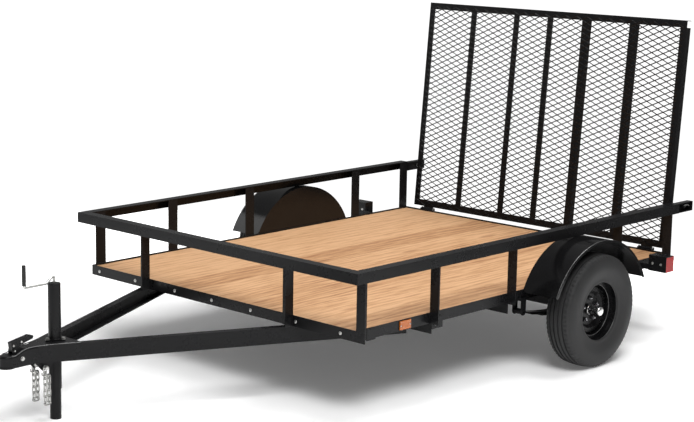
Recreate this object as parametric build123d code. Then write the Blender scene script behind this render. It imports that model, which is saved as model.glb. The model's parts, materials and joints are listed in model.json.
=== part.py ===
"""Single-axle utility trailer with a plank deck, angle-iron side rails and an
expanded-metal ramp gate, parked on its tongue jack.

Frame of the model: +Z up, -Y towards the coupler, +Y towards the ramp gate,
+X is the trailer's left side.  Pieces are laid out from the front face of the
deck frame (y = 0 there, ground at z = 0) and are moved by SHIFT_Y when they are
written, so that the origin is the bottom centre of the whole trailer's box.
All sizes are millimetres.
"""
import os
from math import acos, asin, atan2, cos, degrees, hypot, radians, sin, tan

from build123d import *

# ---------------------------------------------------------------- driving sizes
# Deck frame: angle iron around a plank deck
BED_W = 1829.0            # over the vertical legs of the side angles
BED_L = 2438.0            # over the front and rear angles
FRAME_LEG = 50.8
FRAME_WALL = 4.8
FRAME_BOTTOM = 354.0      # underside of the frame above the ground

# Deck boards
BOARD_T = 38.0
BOARD_COUNT = 10
BOARD_GAP = 1.5

# Crossmembers, hung below the frame
CROSS_LEG = 50.8
CROSS_WALL = 4.8
CROSS_FIRST = 508.0       # front face of the first one
CROSS_FROM_AXLE = (-449.0, -129.0, 398.0)

# Top rails and their posts
RAIL_TOP = 677.0
RAIL_LEG = 50.8
RAIL_WALL = 4.8
POST_LEG = 63.5
POST_WALL = 4.8
SIDE_POSTS_FRONT = (0.0, 496.0)
SIDE_POSTS_FROM_AXLE = (-456.0, 404.0)
RIGHT_POSTS_BACK = 28.0   # the right side's posts stand this much further back, except the last
FRONT_POST_X = 496.0      # centre of each intermediate front post

# Tongue: two channels in an A
TONGUE_H = 76.2
TONGUE_FLANGE = 35.8
TONGUE_WALL = 4.8
TONGUE_HALF_ANGLE = 25.0
TONGUE_APEX_Y = -1137.0   # where the outer faces of the channels would meet
TONGUE_FRONT_Y = -1038.0

# Coupler for a 2 inch ball
BALL_R = 25.4
SOCKET_CLEARANCE = 0.6
SOCKET_WALL = 4.5
BALL_Y = -1219.0
BALL_Z = 303.0
COUPLER_WALL = 4.5
COUPLER_HALF_W = 34.0
COUPLER_REAR_Y = -890.0
COUPLER_BOTTOM = 281.0
COUPLER_LIP = 5.0
NOSE_TOP = 336.0          # top of the channel just behind the ball
NOSE_RISE_START_Y = -1190.0
NOSE_RISE_END_Y = -1145.0
NOSE_ROUND = 10.0         # of the nose's top edges

# Coupler latch
LATCH_BACK_Y = 104.0      # handle's tip behind the pin
LATCH_BACK_Z = 46.0       # and above it
LATCH_FRONT_Z = 37.0      # front corner above the pin
LATCH_DEPTH = 12.0        # of the handle's side walls
LATCH_PIVOT_Y = -1186.0
LATCH_PIVOT_Z = 352.0
LATCH_PIN_R = 4.0
LATCH_W = 26.0
LATCH_PLATE = 4.5

# Jack: round tube, ram and top-wind crank
JACK_Y = -955.0
JACK_TUBE_R = 28.6
JACK_RAM_R = 25.4
JACK_HOLE_GAP = 0.5
RAM_GAP = 0.1
JACK_TUBE_BOTTOM = 138.0
JACK_TUBE_TOP = 612.0
JACK_RAM_WALL = 3.0
JACK_RAM_INSIDE = 210.0   # length of ram inside the tube
JACK_CAP = 4.0
JACK_FLANGE = 6.0
JACK_BOLT_RADIUS = 40.0
CRANK_ROD_R = 6.0
CRANK_REACH = 163.0
CRANK_ARM_Z = 617.0
CRANK_TOP_Z = 658.0
CRANK_NECK = 44.0
GRIP_R = 9.5
GRIP_L = 99.0             # from the crank arm's axis to the grip's top
GRIP_CAP = 7.0
CRANK_BEND = 8.0

# Chains, each folded back up with its hook through a link
CHAIN_WIRE = 6.0
CHAIN_INNER_L = 29.6
CHAIN_INNER_W = 9.0
CHAIN_PITCH = 27.1
CHAIN_FOLD = 21.2         # between the two strands
CHAIN_DOWN = 6            # links from the bolt to the fold
CHAIN_UP = 4              # links from the fold back up
CHAIN_PLATE_T = 4.5
CHAIN_PLATE_SPREAD = 46.0
CHAIN_STANDOFF = 7.0      # centre of the chain outside its plate
CHAIN_BOLT_Y = -1043.0
CHAIN_BOLT_Z = 257.0
CHAIN_BOLT_R = 4.2
CHAIN_NUT_R = 10.0
HOOK_EYE_R = 6.0
HOOK_WIRE = 7.0
HOOK_LIFT = 2.0           # point above the middle of its link
HOOK_TIP = 26.0

# Running gear
AXLE_FROM_REAR = 919.0    # axle ahead of the frame's rear face
TYRE_R = 281.0            # free radius, also the axle height
TYRE_W = 150.0
TREAD_W = 118.0
TYRE_WALL_R = 214.4       # where the walls bulge most
WHEEL_OFFSET = 160.0      # centre plane of the wheels outside the frame
RIM_R = 152.4
RIM_W = 101.6
RIM_LIP = 13.0
RIM_WALL = 3.2
DISC_INSET = 9.0          # bolt face of the disc inboard of the centre plane
DISC_WALL = 3.6
BOLT_CIRCLE_R = 57.15
NUT_COUNT = 5
NUT_R = 10.5
NUT_L = 16.0
HUB_R = 38.0
HUB_FLANGE_R = 70.0
HUB_FLANGE_T = 9.0
HUB_DEPTH = 77.0          # from the bolt face to the hub's inner end
CAP_R = 25.0
CAP_REACH = 76.0          # from the bolt face to the cap's end
AXLE_R = 22.2
SPINDLE_R = 15.0
RUNNING_GAP = 0.08        # radial, of every turning fit
SPRING_INSET = 28.5       # centre of each spring inside the frame's side
SPRING_HALF_SPAN = 320.0
SPRING_W = 44.4
LEAF_T = 6.4
LEAF_GAP = 0.2
LEAF_HALF_LENGTHS = (320.0, 240.0, 160.0)
SPRING_RISE = 39.0
SPRING_SEAT_T = 4.0
EYE_R = 14.0
EYE_PIN_R = 7.0
HANGER_PLATE = 5.0
TIE_PLATE_T = 8.0
U_BOLT_R = 5.0

# Fenders
FENDER_R = 398.0
FENDER_BEHIND_AXLE = 28.0  # centre of its arc behind the axle
FENDER_CENTRE_Z = 228.0
FENDER_END_Z = 392.0      # underside of both ends
FENDER_T = 2.0
FENDER_REACH = 204.0      # outer edge outside the frame
FENDER_LIP = 12.0
FENDER_PLATE_BOTTOM = 366.0

# Ramp gate
GATE_SIDE_GAP = 40.5      # gate's edge inside the frame's side
GATE_H = 1210.0
GATE_LEG = 38.1
GATE_WALL = 3.2
GATE_LEAN = 5.1           # degrees it leans back when latched
GATE_PANELS = (314.0, 308.0)   # from a side edge to the first and second stiffener
HINGE_BACK = 20.0         # hinge pin behind the frame's rear face
HINGE_Z = 405.0
GATE_LIFT = 14.0          # bottom edge of the gate above the pin
GATE_FRONT = 2.0          # front face of the gate's angles behind the pin
MESH_LONG = 71.2
MESH_SHORT = 32.5
STRAND_W = 4.0
STRAND_T = 1.4
HINGE_INSET = 112.0       # centre of a hinge inside the gate's edge
HINGE_PIN_R = 6.0
BARREL_R = 9.5
BARREL_L = 70.0
EAR_T = 8.0
EAR_GAP = 6.0

# Gate latches at the ends of the side rails
GATE_LATCH_H = 50.0
GATE_LATCH_W = 34.0
GATE_LATCH_L = 156.0
GATE_LATCH_OUT = 33.0     # outer edge outside the frame's side
GATE_LATCH_TOP = 671.0
GATE_LATCH_WALL = 4.0
LATCH_BOLT_R = 7.0
LATCH_BOLT_GAP = 8.0

# Lamps
TAIL_W = 103.5
TAIL_D = 70.0
TAIL_H = 82.0
TAIL_FROM_REAR = 291.0    # front face ahead of the frame's rear face
TAIL_BOTTOM = 368.0
TAIL_STANDOFF = 70.5
TAIL_PLATE = 3.0
MARKER_Y = 324.0
MARKER_L = 73.0
MARKER_H = 40.0
MARKER_T = 6.0

# Plates on the frame's sides: (front, rear), (low, high), outer face outside the frame
POST_PLATE = ((502.0, 579.0), (327.0, 383.0), (4.8, 8.8))
CORNER_PLATE = ((67.0, 124.0), (348.0, 402.0), (0.0, 4.0))
PLATE_BOLT = (526.0, 353.0)
PLATE_BOLT_R = 8.0

# ---------------------------------------------------------------- worked out
HALF_W = BED_W / 2
GATE_W = BED_W - 2 * GATE_SIDE_GAP
HINGE_X = GATE_W / 2 - HINGE_INSET
AXLE_Y = BED_L - AXLE_FROM_REAR
TAIL_Y = BED_L - TAIL_FROM_REAR
WHEEL_X = HALF_W + WHEEL_OFFSET
DISC_X = WHEEL_X - DISC_INSET
HUB_INNER_X = DISC_X - HUB_DEPTH
CAP_END_X = DISC_X + CAP_REACH
SPRING_X = HALF_W - SPRING_INSET
FENDER_OUTER_X = HALF_W + FENDER_REACH
FENDER_Y = AXLE_Y + FENDER_BEHIND_AXLE
CROSS_STATIONS = (CROSS_FIRST,) + tuple(AXLE_Y + offset for offset in CROSS_FROM_AXLE)
FRAME_TOP = FRAME_BOTTOM + FRAME_LEG
DECK_BOTTOM = FRAME_BOTTOM + FRAME_WALL
DECK_TOP = DECK_BOTTOM + BOARD_T
RAIL_OUT = HALF_W + RAIL_LEG
RAIL_UNDER = RAIL_TOP - RAIL_WALL
LAST_POST = BED_L - POST_LEG
POST_STATIONS = SIDE_POSTS_FRONT + tuple(AXLE_Y + offset for offset in SIDE_POSTS_FROM_AXLE) + (LAST_POST,)
RAIL_END = BED_L
TONGUE_SLOPE = tan(radians(TONGUE_HALF_ANGLE))
TONGUE_TOP = FRAME_BOTTOM
COUPLER_TOP = TONGUE_TOP + COUPLER_WALL
NOSE_END_Y = TONGUE_APEX_Y + (COUPLER_HALF_W - COUPLER_WALL / cos(radians(TONGUE_HALF_ANGLE))) / TONGUE_SLOPE
SOCKET_R = BALL_R + SOCKET_CLEARANCE
SOCKET_OUT = SOCKET_R + SOCKET_WALL
AXLE_Z = TYRE_R
HINGE_Y = BED_L + HINGE_BACK
LEAN = radians(GATE_LEAN)

FRONT_TIP = BALL_Y - COUPLER_HALF_W - COUPLER_LIP
GATE_TOP_BACK = HINGE_Y + (GATE_LIFT + GATE_H) * sin(LEAN) + (GATE_FRONT + GATE_LEG) * cos(LEAN)
LATCH_BACK = RAIL_END + GATE_LATCH_L
REAR_TIP = max(GATE_TOP_BACK, LATCH_BACK)
SHIFT_Y = -(FRONT_TIP + REAR_TIP) / 2

CHAIN_TOP = CHAIN_BOLT_Z + CHAIN_BOLT_R + 0.2 - CHAIN_INNER_L / 2
CHAIN_SEAT = CHAIN_INNER_W / 2 - (CHAIN_INNER_W ** 2 / 4 - CHAIN_WIRE ** 2 / 4) ** 0.5
CHAIN_X = COUPLER_HALF_W - COUPLER_WALL + CHAIN_PLATE_T + CHAIN_STANDOFF
STUD_R = 6.4

SIDES = (("left", 1), ("right", -1))


# ---------------------------------------------------------------- helpers
def block(x, y, z):
    """A box from its (low, high) pairs along X, Y and Z, in either order."""
    centre = [(pair[0] + pair[1]) / 2 for pair in (x, y, z)]
    size = [abs(pair[1] - pair[0]) for pair in (x, y, z)]
    return Pos(*centre) * Box(*size)


def rod_x(radius, x, y, z):
    """A round bar along X from x[0] to x[1]."""
    return Pos((x[0] + x[1]) / 2, y, z) * Rot(0, 90, 0) * Cylinder(radius, abs(x[1] - x[0]))


def rod_y(radius, x, y, z):
    """A round bar along Y from y[0] to y[1]."""
    return Pos(x, (y[0] + y[1]) / 2, z) * Rot(90, 0, 0) * Cylinder(radius, abs(y[1] - y[0]))


def rod_z(radius, x, y, z):
    """A round bar along Z from z[0] to z[1]."""
    return Pos(x, y, (z[0] + z[1]) / 2) * Cylinder(radius, abs(z[1] - z[0]))


def side_profile(points, x):
    """The polygon of (y, z) points extruded along X from x[0] to x[1]."""
    face = make_face(Polyline(*[(0, y, z) for y, z in points], close=True))
    low = min(x)
    return Pos(low, 0, 0) * extrude(face, amount=abs(x[1] - x[0]), dir=(1, 0, 0))


def plan_profile(points, z):
    """The polygon of (x, y) points extruded along Z from z[0] to z[1]."""
    face = make_face(Polyline(*[(x, y, 0) for x, y in points], close=True))
    return Pos(0, 0, min(z)) * extrude(face, amount=abs(z[1] - z[0]), dir=(0, 0, 1))


def lathe_x(points, x_centre, side):
    """The polygon of (x, radius) points turned about the axle, mirrored for the right side."""
    face = make_face(Polyline(*[(x, 0, r) for x, r in points], close=True))
    ring = revolve(face, axis=Axis.X)
    if side < 0:
        ring = mirror(ring, about=Plane.YZ)
    return Pos(side * x_centre, AXLE_Y, AXLE_Z) * ring


def write(node, shapes):
    """Writes one node, moved so that the origin is the trailer's bottom centre."""
    if not isinstance(shapes, list):
        shapes = [shapes]
    solids = []
    for shape in shapes:
        solids.extend((Pos(0, SHIFT_Y, 0) * shape).solids())
    body = solids[0] if len(solids) == 1 else Compound(solids)
    export_step(body, "parts/" + node + ".step")


# ---------------------------------------------------------------- deck frame
def side_angle(side):
    """Side angle: the vertical leg outside, the other inward below the boards."""
    outer = side * HALF_W
    upright = block((outer, outer - side * FRAME_WALL), (FRAME_WALL, BED_L - FRAME_WALL),
                    (FRAME_BOTTOM, FRAME_TOP))
    shelf = block((outer - side * FRAME_WALL, outer - side * FRAME_LEG),
                  (FRAME_LEG, BED_L - FRAME_LEG), (FRAME_BOTTOM, DECK_BOTTOM))
    return upright + shelf


def end_angle(face_y, inward):
    """Front or rear angle over the full width; inward is +1 or -1 along Y."""
    upright = block((-HALF_W, HALF_W), (face_y, face_y + inward * FRAME_WALL),
                    (FRAME_BOTTOM, FRAME_TOP))
    shelf = block((-HALF_W + FRAME_WALL, HALF_W - FRAME_WALL),
                  (face_y + inward * FRAME_WALL, face_y + inward * FRAME_LEG),
                  (FRAME_BOTTOM, DECK_BOTTOM))
    return upright + shelf


def crossmember(station):
    """Angle below the frame: the vertical leg in front, the flat leg up against the frame."""
    upright = block((-HALF_W, HALF_W), (station, station + CROSS_WALL),
                    (FRAME_BOTTOM - CROSS_LEG, FRAME_BOTTOM))
    flat = block((-HALF_W, HALF_W), (station + CROSS_WALL, station + CROSS_LEG),
                 (FRAME_BOTTOM - CROSS_WALL, FRAME_BOTTOM))
    return upright + flat


def deck_boards():
    """Planks side by side, running front to rear, resting on the frame's shelf."""
    inside = BED_W - 2 * FRAME_WALL - BOARD_GAP
    pitch = inside / BOARD_COUNT
    first = -inside / 2
    boards = []
    for index in range(BOARD_COUNT):
        low = first + index * pitch + BOARD_GAP / 2
        boards.append(block((low, low + pitch - BOARD_GAP),
                            (FRAME_WALL + BOARD_GAP, BED_L - FRAME_WALL - BOARD_GAP),
                            (DECK_BOTTOM, DECK_TOP)))
    return boards


# ---------------------------------------------------------------- rails and posts
def side_rail(side):
    """Angle rail: the flat leg on top of the posts, the other hanging outside them."""
    hanging = block((side * RAIL_OUT, side * (RAIL_OUT - RAIL_WALL)),
                    (-RAIL_LEG + RAIL_WALL, RAIL_END), (RAIL_TOP - RAIL_LEG, RAIL_TOP))
    flat = block((side * HALF_W, side * (RAIL_OUT - RAIL_WALL)), (0, RAIL_END),
                 (RAIL_UNDER, RAIL_TOP))
    return hanging + flat


def front_rail():
    """Front angle rail, from corner to corner, the same section as the side rails."""
    hanging = block((-RAIL_OUT, RAIL_OUT), (-RAIL_LEG, -RAIL_LEG + RAIL_WALL),
                    (RAIL_TOP - RAIL_LEG, RAIL_TOP))
    flat = block((-RAIL_OUT + RAIL_WALL, RAIL_OUT - RAIL_WALL), (-RAIL_LEG + RAIL_WALL, 0),
                 (RAIL_UNDER, RAIL_TOP))
    return hanging + flat


def side_posts(side):
    """Angle posts on the frame's outer face, their outward legs notched behind the rail.

    Every post stands the same way round: on the left the outward leg is the
    front one, on the right the rear one.
    """
    height = (FRAME_BOTTOM, RAIL_UNDER)
    posts = []
    for station in POST_STATIONS:
        if side < 0 and station != LAST_POST:
            station += RIGHT_POSTS_BACK
        back = station + POST_LEG
        on_frame = block((side * HALF_W, side * (HALF_W + POST_WALL)), (station, back), height)
        outward = (station, station + POST_WALL) if side > 0 else (back - POST_WALL, back)
        leg = block((side * (HALF_W + POST_WALL), side * (RAIL_OUT - RAIL_WALL)), outward, height)
        edge = block((side * (RAIL_OUT - RAIL_WALL), side * RAIL_OUT), outward,
                     (FRAME_BOTTOM, RAIL_TOP - RAIL_LEG))
        posts.append(on_frame + leg + edge)
    return posts


def front_posts():
    """Two angle posts on the frame's front face, each with its left leg forward."""
    height = (FRAME_BOTTOM, RAIL_UNDER)
    posts = []
    for side in (1, -1):
        low = side * FRONT_POST_X - POST_LEG / 2
        high = low + POST_LEG
        flat = block((low, high), (-POST_WALL, 0), height)
        leg = block((high - POST_WALL, high), (-RAIL_LEG + RAIL_WALL, -POST_WALL), height)
        edge = block((high - POST_WALL, high), (-RAIL_LEG, -RAIL_LEG + RAIL_WALL),
                     (FRAME_BOTTOM, RAIL_TOP - RAIL_LEG))
        posts.append(flat + leg + edge)
    return posts


def side_plates(side):
    """Plate over the second post's foot, with its bolt, and a plate near the front corner.

    The first plate lies the other way round on the right, as the post does, and
    both lie further back there, as the posts do.
    """
    centre = SIDE_POSTS_FRONT[1] + POST_LEG / 2
    further = RIGHT_POSTS_BACK if side < 0 else 0
    plates = []
    for y, z, out in (POST_PLATE, CORNER_PLATE):
        if side < 0 and y is POST_PLATE[0]:
            y = (2 * centre - y[1], 2 * centre - y[0])
        y = (y[0] + further, y[1] + further)
        plates.append(block((side * (HALF_W + out[0]), side * (HALF_W + out[1])), y, z))
    face = HALF_W + POST_PLATE[2][1]
    bolt_y = centre + side * (PLATE_BOLT[0] - centre) + further
    plates[0] = plates[0] + rod_x(PLATE_BOLT_R, (side * face, side * (face + 7)), bolt_y, PLATE_BOLT[1])
    return plates


# ---------------------------------------------------------------- tongue and coupler
def tongue_x(y, outset=0.0):
    """Half-width of the A over the channels' outer faces at y, plus an outset along their normal."""
    return (y - TONGUE_APEX_Y) * TONGUE_SLOPE + outset / cos(radians(TONGUE_HALF_ANGLE))


def tongue_strip(side, near, far, y, z):
    """A straight strip along one leg of the A, between two insets from its outer face."""
    corners = [(side * tongue_x(y[0], -near), y[0]), (side * tongue_x(y[1], -near), y[1]),
               (side * tongue_x(y[1], -far), y[1]), (side * tongue_x(y[0], -far), y[0])]
    return plan_profile(corners, z)


def tongue_channel(side):
    """Channel from the coupler to the first crossmember, flanges inward."""
    span = (TONGUE_FRONT_Y, CROSS_STATIONS[0])
    bottom = TONGUE_TOP - TONGUE_H
    web = tongue_strip(side, 0, TONGUE_WALL, span, (bottom, TONGUE_TOP))
    upper = tongue_strip(side, TONGUE_WALL, TONGUE_FLANGE, span,
                         (TONGUE_TOP - TONGUE_WALL, TONGUE_TOP))
    lower = tongue_strip(side, TONGUE_WALL, TONGUE_FLANGE, span, (bottom, bottom + TONGUE_WALL))
    return web + upper + lower


def nose_plan(half, low, high):
    """Plan of the nose: a strip back to the cover with a round front about the ball."""
    strip = block((-half, half), (BALL_Y, NOSE_END_Y), (low, high))
    return strip + rod_z(half, 0, BALL_Y, (low, high))


def coupler():
    """Pressed A-frame coupler: ball socket, rounded nose and the cover over the tongue."""
    wall = COUPLER_WALL
    half = COUPLER_HALF_W
    join_y = NOSE_END_Y
    front = BALL_Y - 2 * half
    # nose, open below, with a rounded front and rounded top edges
    roof = [(front, COUPLER_BOTTOM), (front, NOSE_TOP), (NOSE_RISE_START_Y, NOSE_TOP),
            (NOSE_RISE_END_Y, COUPLER_TOP), (join_y, COUPLER_TOP), (join_y, COUPLER_BOTTOM)]
    outer = nose_plan(half, COUPLER_BOTTOM, COUPLER_TOP) & side_profile(roof, (-half, half))
    crown = [edge for edge in outer.edges() if edge.center().Z > NOSE_TOP - 0.5
             and (edge.center().Y < BALL_Y or abs(abs(edge.center().X) - half) < 0.5)]
    outer = fillet(crown, NOSE_ROUND)
    under = [(front, COUPLER_BOTTOM - wall), (front, NOSE_TOP - wall),
             (NOSE_RISE_START_Y + wall / 2, NOSE_TOP - wall),
             (NOSE_RISE_END_Y + wall / 2, COUPLER_TOP - wall),
             (join_y + wall, COUPLER_TOP - wall), (join_y + wall, COUPLER_BOTTOM - wall)]
    hollow = block((-half + wall, half - wall), (BALL_Y, join_y + wall), (COUPLER_BOTTOM - wall, COUPLER_TOP))
    hollow = hollow + rod_z(half - wall, 0, BALL_Y, (COUPLER_BOTTOM - wall, COUPLER_TOP))
    hollow = hollow & side_profile(under, (-half, half))
    nose = outer - hollow
    # cover over the tongue
    rear_out = tongue_x(COUPLER_REAR_Y, wall)
    top = plan_profile([(-half, join_y), (half, join_y), (rear_out, COUPLER_REAR_Y),
                        (-rear_out, COUPLER_REAR_Y)], (TONGUE_TOP, COUPLER_TOP))
    top = top - rod_z(JACK_TUBE_R + JACK_HOLE_GAP, 0, JACK_Y, (TONGUE_TOP - wall, COUPLER_TOP + wall))
    skirts = [tongue_strip(side, -wall, 0, (join_y, COUPLER_REAR_Y), (COUPLER_BOTTOM, TONGUE_TOP))
              for side in (1, -1)]
    # ball socket: a dome on a ring, with a flange round the mouth
    ring = rod_z(SOCKET_OUT, 0, BALL_Y, (COUPLER_BOTTOM, BALL_Z))
    dome = Pos(0, BALL_Y, BALL_Z) * Sphere(SOCKET_OUT, arc_size1=0)
    lip = rod_z(half + COUPLER_LIP, 0, BALL_Y, (COUPLER_BOTTOM, COUPLER_BOTTOM + wall))
    mouth = rod_z(SOCKET_R, 0, BALL_Y, (COUPLER_BOTTOM - wall, BALL_Z))
    bowl = Pos(0, BALL_Y, BALL_Z) * Sphere(SOCKET_R)
    # ears for the latch pin
    ears = []
    for side in (1, -1):
        inner = side * (LATCH_W / 2 + JACK_HOLE_GAP)
        ear = block((inner, inner + side * LATCH_PLATE),
                    (LATCH_PIVOT_Y - 10, LATCH_PIVOT_Y + 10), (NOSE_TOP - wall / 2, LATCH_PIVOT_Z))
        ears.append(ear + rod_x(10, (inner, inner + side * LATCH_PLATE), LATCH_PIVOT_Y, LATCH_PIVOT_Z))
    body = nose + top + skirts + ring + dome + lip + ears
    body = body - mouth - bowl
    return body - rod_x(LATCH_PIN_R + 0.05, (-half, half), LATCH_PIVOT_Y, LATCH_PIVOT_Z)


def coupler_latch():
    """Pressed lever over the nose, a channel open below, with its hub on the latch pin."""
    half = LATCH_W / 2
    y, z = LATCH_PIVOT_Y, LATCH_PIVOT_Z
    hub = rod_x(9, (-half, half), y, z)
    front = (y - 15, z + LATCH_FRONT_Z)
    tip = (y + LATCH_BACK_Y, z + LATCH_BACK_Z + 4)
    lever = side_profile([(y - 9, z), front, (y + LATCH_BACK_Y - 18, z + LATCH_BACK_Z + 9), tip,
                          (tip[0] - 2, tip[1] - LATCH_DEPTH), (y + 40, z + 22), (y + 22, z + 10),
                          (y + 9, z)], (-half, half))
    hollow = side_profile([(y + 12, z + 14), (y + 6, z + LATCH_FRONT_Z - 2),
                           (y + LATCH_BACK_Y - 18, z + LATCH_BACK_Z + 4),
                           (y + LATCH_BACK_Y + 9, z + LATCH_BACK_Z - 4),
                           (tip[0], tip[1] - 2 * LATCH_DEPTH), (y + 40, z)],
                          (-half + LATCH_PLATE, half - LATCH_PLATE))
    return hub + (lever - hollow) - rod_x(LATCH_PIN_R + RUNNING_GAP, (-half, half), y, z)


def chain_plate(side):
    """Triangular plate below the coupler's skirt that carries the chain's bolt."""
    t = CHAIN_PLATE_T
    low = CHAIN_BOLT_Z - 15
    spread = CHAIN_PLATE_SPREAD
    under = TONGUE_TOP - TONGUE_H
    step_y = NOSE_END_Y - 1.5
    face = [(CHAIN_BOLT_Y - spread, COUPLER_BOTTOM), (step_y, COUPLER_BOTTOM), (step_y, under),
            (CHAIN_BOLT_Y + 1.6 * spread, under), (CHAIN_BOLT_Y + 12, low), (CHAIN_BOLT_Y - 8, low)]
    plate = side_profile(face, (0, side * t))
    plate = plate - rod_x(CHAIN_BOLT_R, (-2 * t, 2 * t), CHAIN_BOLT_Y, CHAIN_BOLT_Z)
    return Pos(side * chain_plate_x(), 0, 0) * plate


def chain_plate_x():
    """Inner face of the chain plates: just inside the nose channel's walls."""
    return COUPLER_HALF_W - COUPLER_WALL


def chain_bolt(side):
    """Bolt through the chain plate, its head inside and the chain on its shank outside."""
    inner = chain_plate_x()
    end = CHAIN_X + CHAIN_WIRE / 2 + 2
    shank = rod_x(CHAIN_BOLT_R - 0.1, (side * (inner - 1), side * end), CHAIN_BOLT_Y, CHAIN_BOLT_Z)
    head = rod_x(CHAIN_NUT_R, (side * (inner - 8), side * inner), CHAIN_BOLT_Y, CHAIN_BOLT_Z)
    nut = rod_x(CHAIN_NUT_R, (side * end, side * (end + 8)), CHAIN_BOLT_Y, CHAIN_BOLT_Z)
    return shank + head + nut


def link_outline(half, straight):
    """The (y, z) points of a slot with a chamfer for each quarter of its round ends."""
    corner = half * tan(radians(22.5))
    reach = straight / 2
    top = [(half, reach + corner), (corner, reach + half), (-corner, reach + half), (-half, reach + corner)]
    return top + [(-y, -z) for y, z in top]


def chain_link():
    """One link standing in the YZ plane, centred on its hole."""
    half = CHAIN_INNER_W / 2
    wire = CHAIN_WIRE
    straight = CHAIN_INNER_L - CHAIN_INNER_W
    body = side_profile(link_outline(half + wire, straight), (-wire / 2, wire / 2))
    return body - side_profile(link_outline(half, straight), (-wire, wire))


def chain(side):
    """Links down from the bolt, one across at the fold and links back up behind them.

    Each link is turned a quarter from its neighbour, and lies on the crown of it.
    """
    x = side * CHAIN_X
    last = CHAIN_TOP - (CHAIN_DOWN - 1) * CHAIN_PITCH
    links = []
    for index in range(CHAIN_DOWN):
        turn = 90 * (index % 2)
        place = Pos(x, CHAIN_BOLT_Y, CHAIN_TOP - index * CHAIN_PITCH)
        links.append(place * Rot(0, 0, turn) * chain_link())
    across = last - CHAIN_INNER_L / 2 + CHAIN_SEAT + 0.1 - CHAIN_INNER_W / 2
    links.append(Pos(x, CHAIN_BOLT_Y + CHAIN_FOLD / 2, across) * Rot(90, 0, 0) * chain_link())
    for index in range(CHAIN_UP):
        turn = 90 * ((CHAIN_DOWN - 1 - index) % 2)
        place = Pos(x, CHAIN_BOLT_Y + CHAIN_FOLD, last + index * CHAIN_PITCH)
        links.append(place * Rot(0, 0, turn) * chain_link())
    return links


def chain_hook(side):
    """Slip hook: an eye on the last link, a shank up and a point through the second link."""
    x = side * CHAIN_X
    wire = HOOK_WIRE
    last = CHAIN_TOP - (CHAIN_DOWN - 1) * CHAIN_PITCH + (CHAIN_UP - 1) * CHAIN_PITCH
    crown = last + CHAIN_INNER_L / 2
    seat = HOOK_EYE_R - (HOOK_EYE_R ** 2 - CHAIN_WIRE ** 2 / 4) ** 0.5
    eye_z = crown - CHAIN_SEAT - seat - 0.2 + HOOK_EYE_R
    point_z = CHAIN_TOP - CHAIN_PITCH + HOOK_LIFT
    y = CHAIN_BOLT_Y + CHAIN_FOLD
    outer = HOOK_EYE_R + wire
    eye = Rot(90, 0, 0) * (Cylinder(outer, wire) - Cylinder(HOOK_EYE_R, 2 * wire))
    eye = Pos(x, y, eye_z) * eye
    half = wire / 2
    shank = block((x - half, x + half), (y - half, y + half), (eye_z + HOOK_EYE_R + 1, point_z + half))
    point = block((x - half, x + half), (CHAIN_BOLT_Y - HOOK_TIP / 2, y + half),
                  (point_z - half, point_z + half))
    tip = block((x - half, x + half), (CHAIN_BOLT_Y - HOOK_TIP / 2 - wire, CHAIN_BOLT_Y - HOOK_TIP / 2),
                (point_z - half, point_z + 2 * wire))
    return eye + shank + point + tip


# ---------------------------------------------------------------- jack
def jack_tube():
    """Outer tube with a cap on top and the bolted flange that holds it to the coupler."""
    bore = JACK_RAM_R + RAM_GAP
    tube = rod_z(JACK_TUBE_R, 0, JACK_Y, (JACK_TUBE_BOTTOM, JACK_TUBE_TOP))
    tube = tube - rod_z(bore, 0, JACK_Y, (JACK_TUBE_BOTTOM - 1, JACK_TUBE_TOP - JACK_CAP))
    flange = Pos(0, JACK_Y, COUPLER_TOP) * extrude(
        fillet(RegularPolygon(JACK_BOLT_RADIUS * 1.55, 3, rotation=-90).vertices(), 12), JACK_FLANGE)
    flange = flange - rod_z(bore, 0, JACK_Y, (COUPLER_TOP - 1, COUPLER_TOP + JACK_FLANGE + 1))
    for angle in (-90, 30, 150):
        x = JACK_BOLT_RADIUS * cos(radians(angle))
        y = JACK_Y + JACK_BOLT_RADIUS * sin(radians(angle))
        flange = flange + rod_z(7, x, y, (COUPLER_TOP + JACK_FLANGE, COUPLER_TOP + JACK_FLANGE + 7))
    return tube + flange


def jack_ram():
    """Inner tube that stands on the ground, closed at its foot."""
    top = JACK_TUBE_BOTTOM + JACK_RAM_INSIDE
    ram = rod_z(JACK_RAM_R, 0, JACK_Y, (0, top))
    return ram - rod_z(JACK_RAM_R - JACK_RAM_WALL, 0, JACK_Y, (JACK_RAM_WALL, top + 1))


def jack_crank():
    """Crank rod: up from the cap, down past the tube's edge, out, and up inside the grip."""
    end = JACK_Y - CRANK_REACH
    start = JACK_TUBE_TOP + 0.3
    path = Polyline((0, JACK_Y, start), (0, JACK_Y, CRANK_TOP_Z - CRANK_ROD_R),
                    (0, JACK_Y - CRANK_NECK, CRANK_ARM_Z), (0, end, CRANK_ARM_Z),
                    (0, end, CRANK_ARM_Z + GRIP_L - GRIP_CAP))
    path = fillet(path.vertices()[1:4], CRANK_BEND)
    section = Plane((0, JACK_Y, start), z_dir=(0, 0, 1)) * Circle(CRANK_ROD_R)
    return sweep(section, path=path)


def jack_grip():
    """Upright hand grip over the crank's turned-up end."""
    y = JACK_Y - CRANK_REACH
    low = CRANK_ARM_Z + CRANK_BEND + 1
    grip = rod_z(GRIP_R, 0, y, (low, CRANK_ARM_Z + GRIP_L))
    return grip - rod_z(CRANK_ROD_R + 0.1, 0, y, (low - 1, CRANK_ARM_Z + GRIP_L - GRIP_CAP + 0.1))


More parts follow.
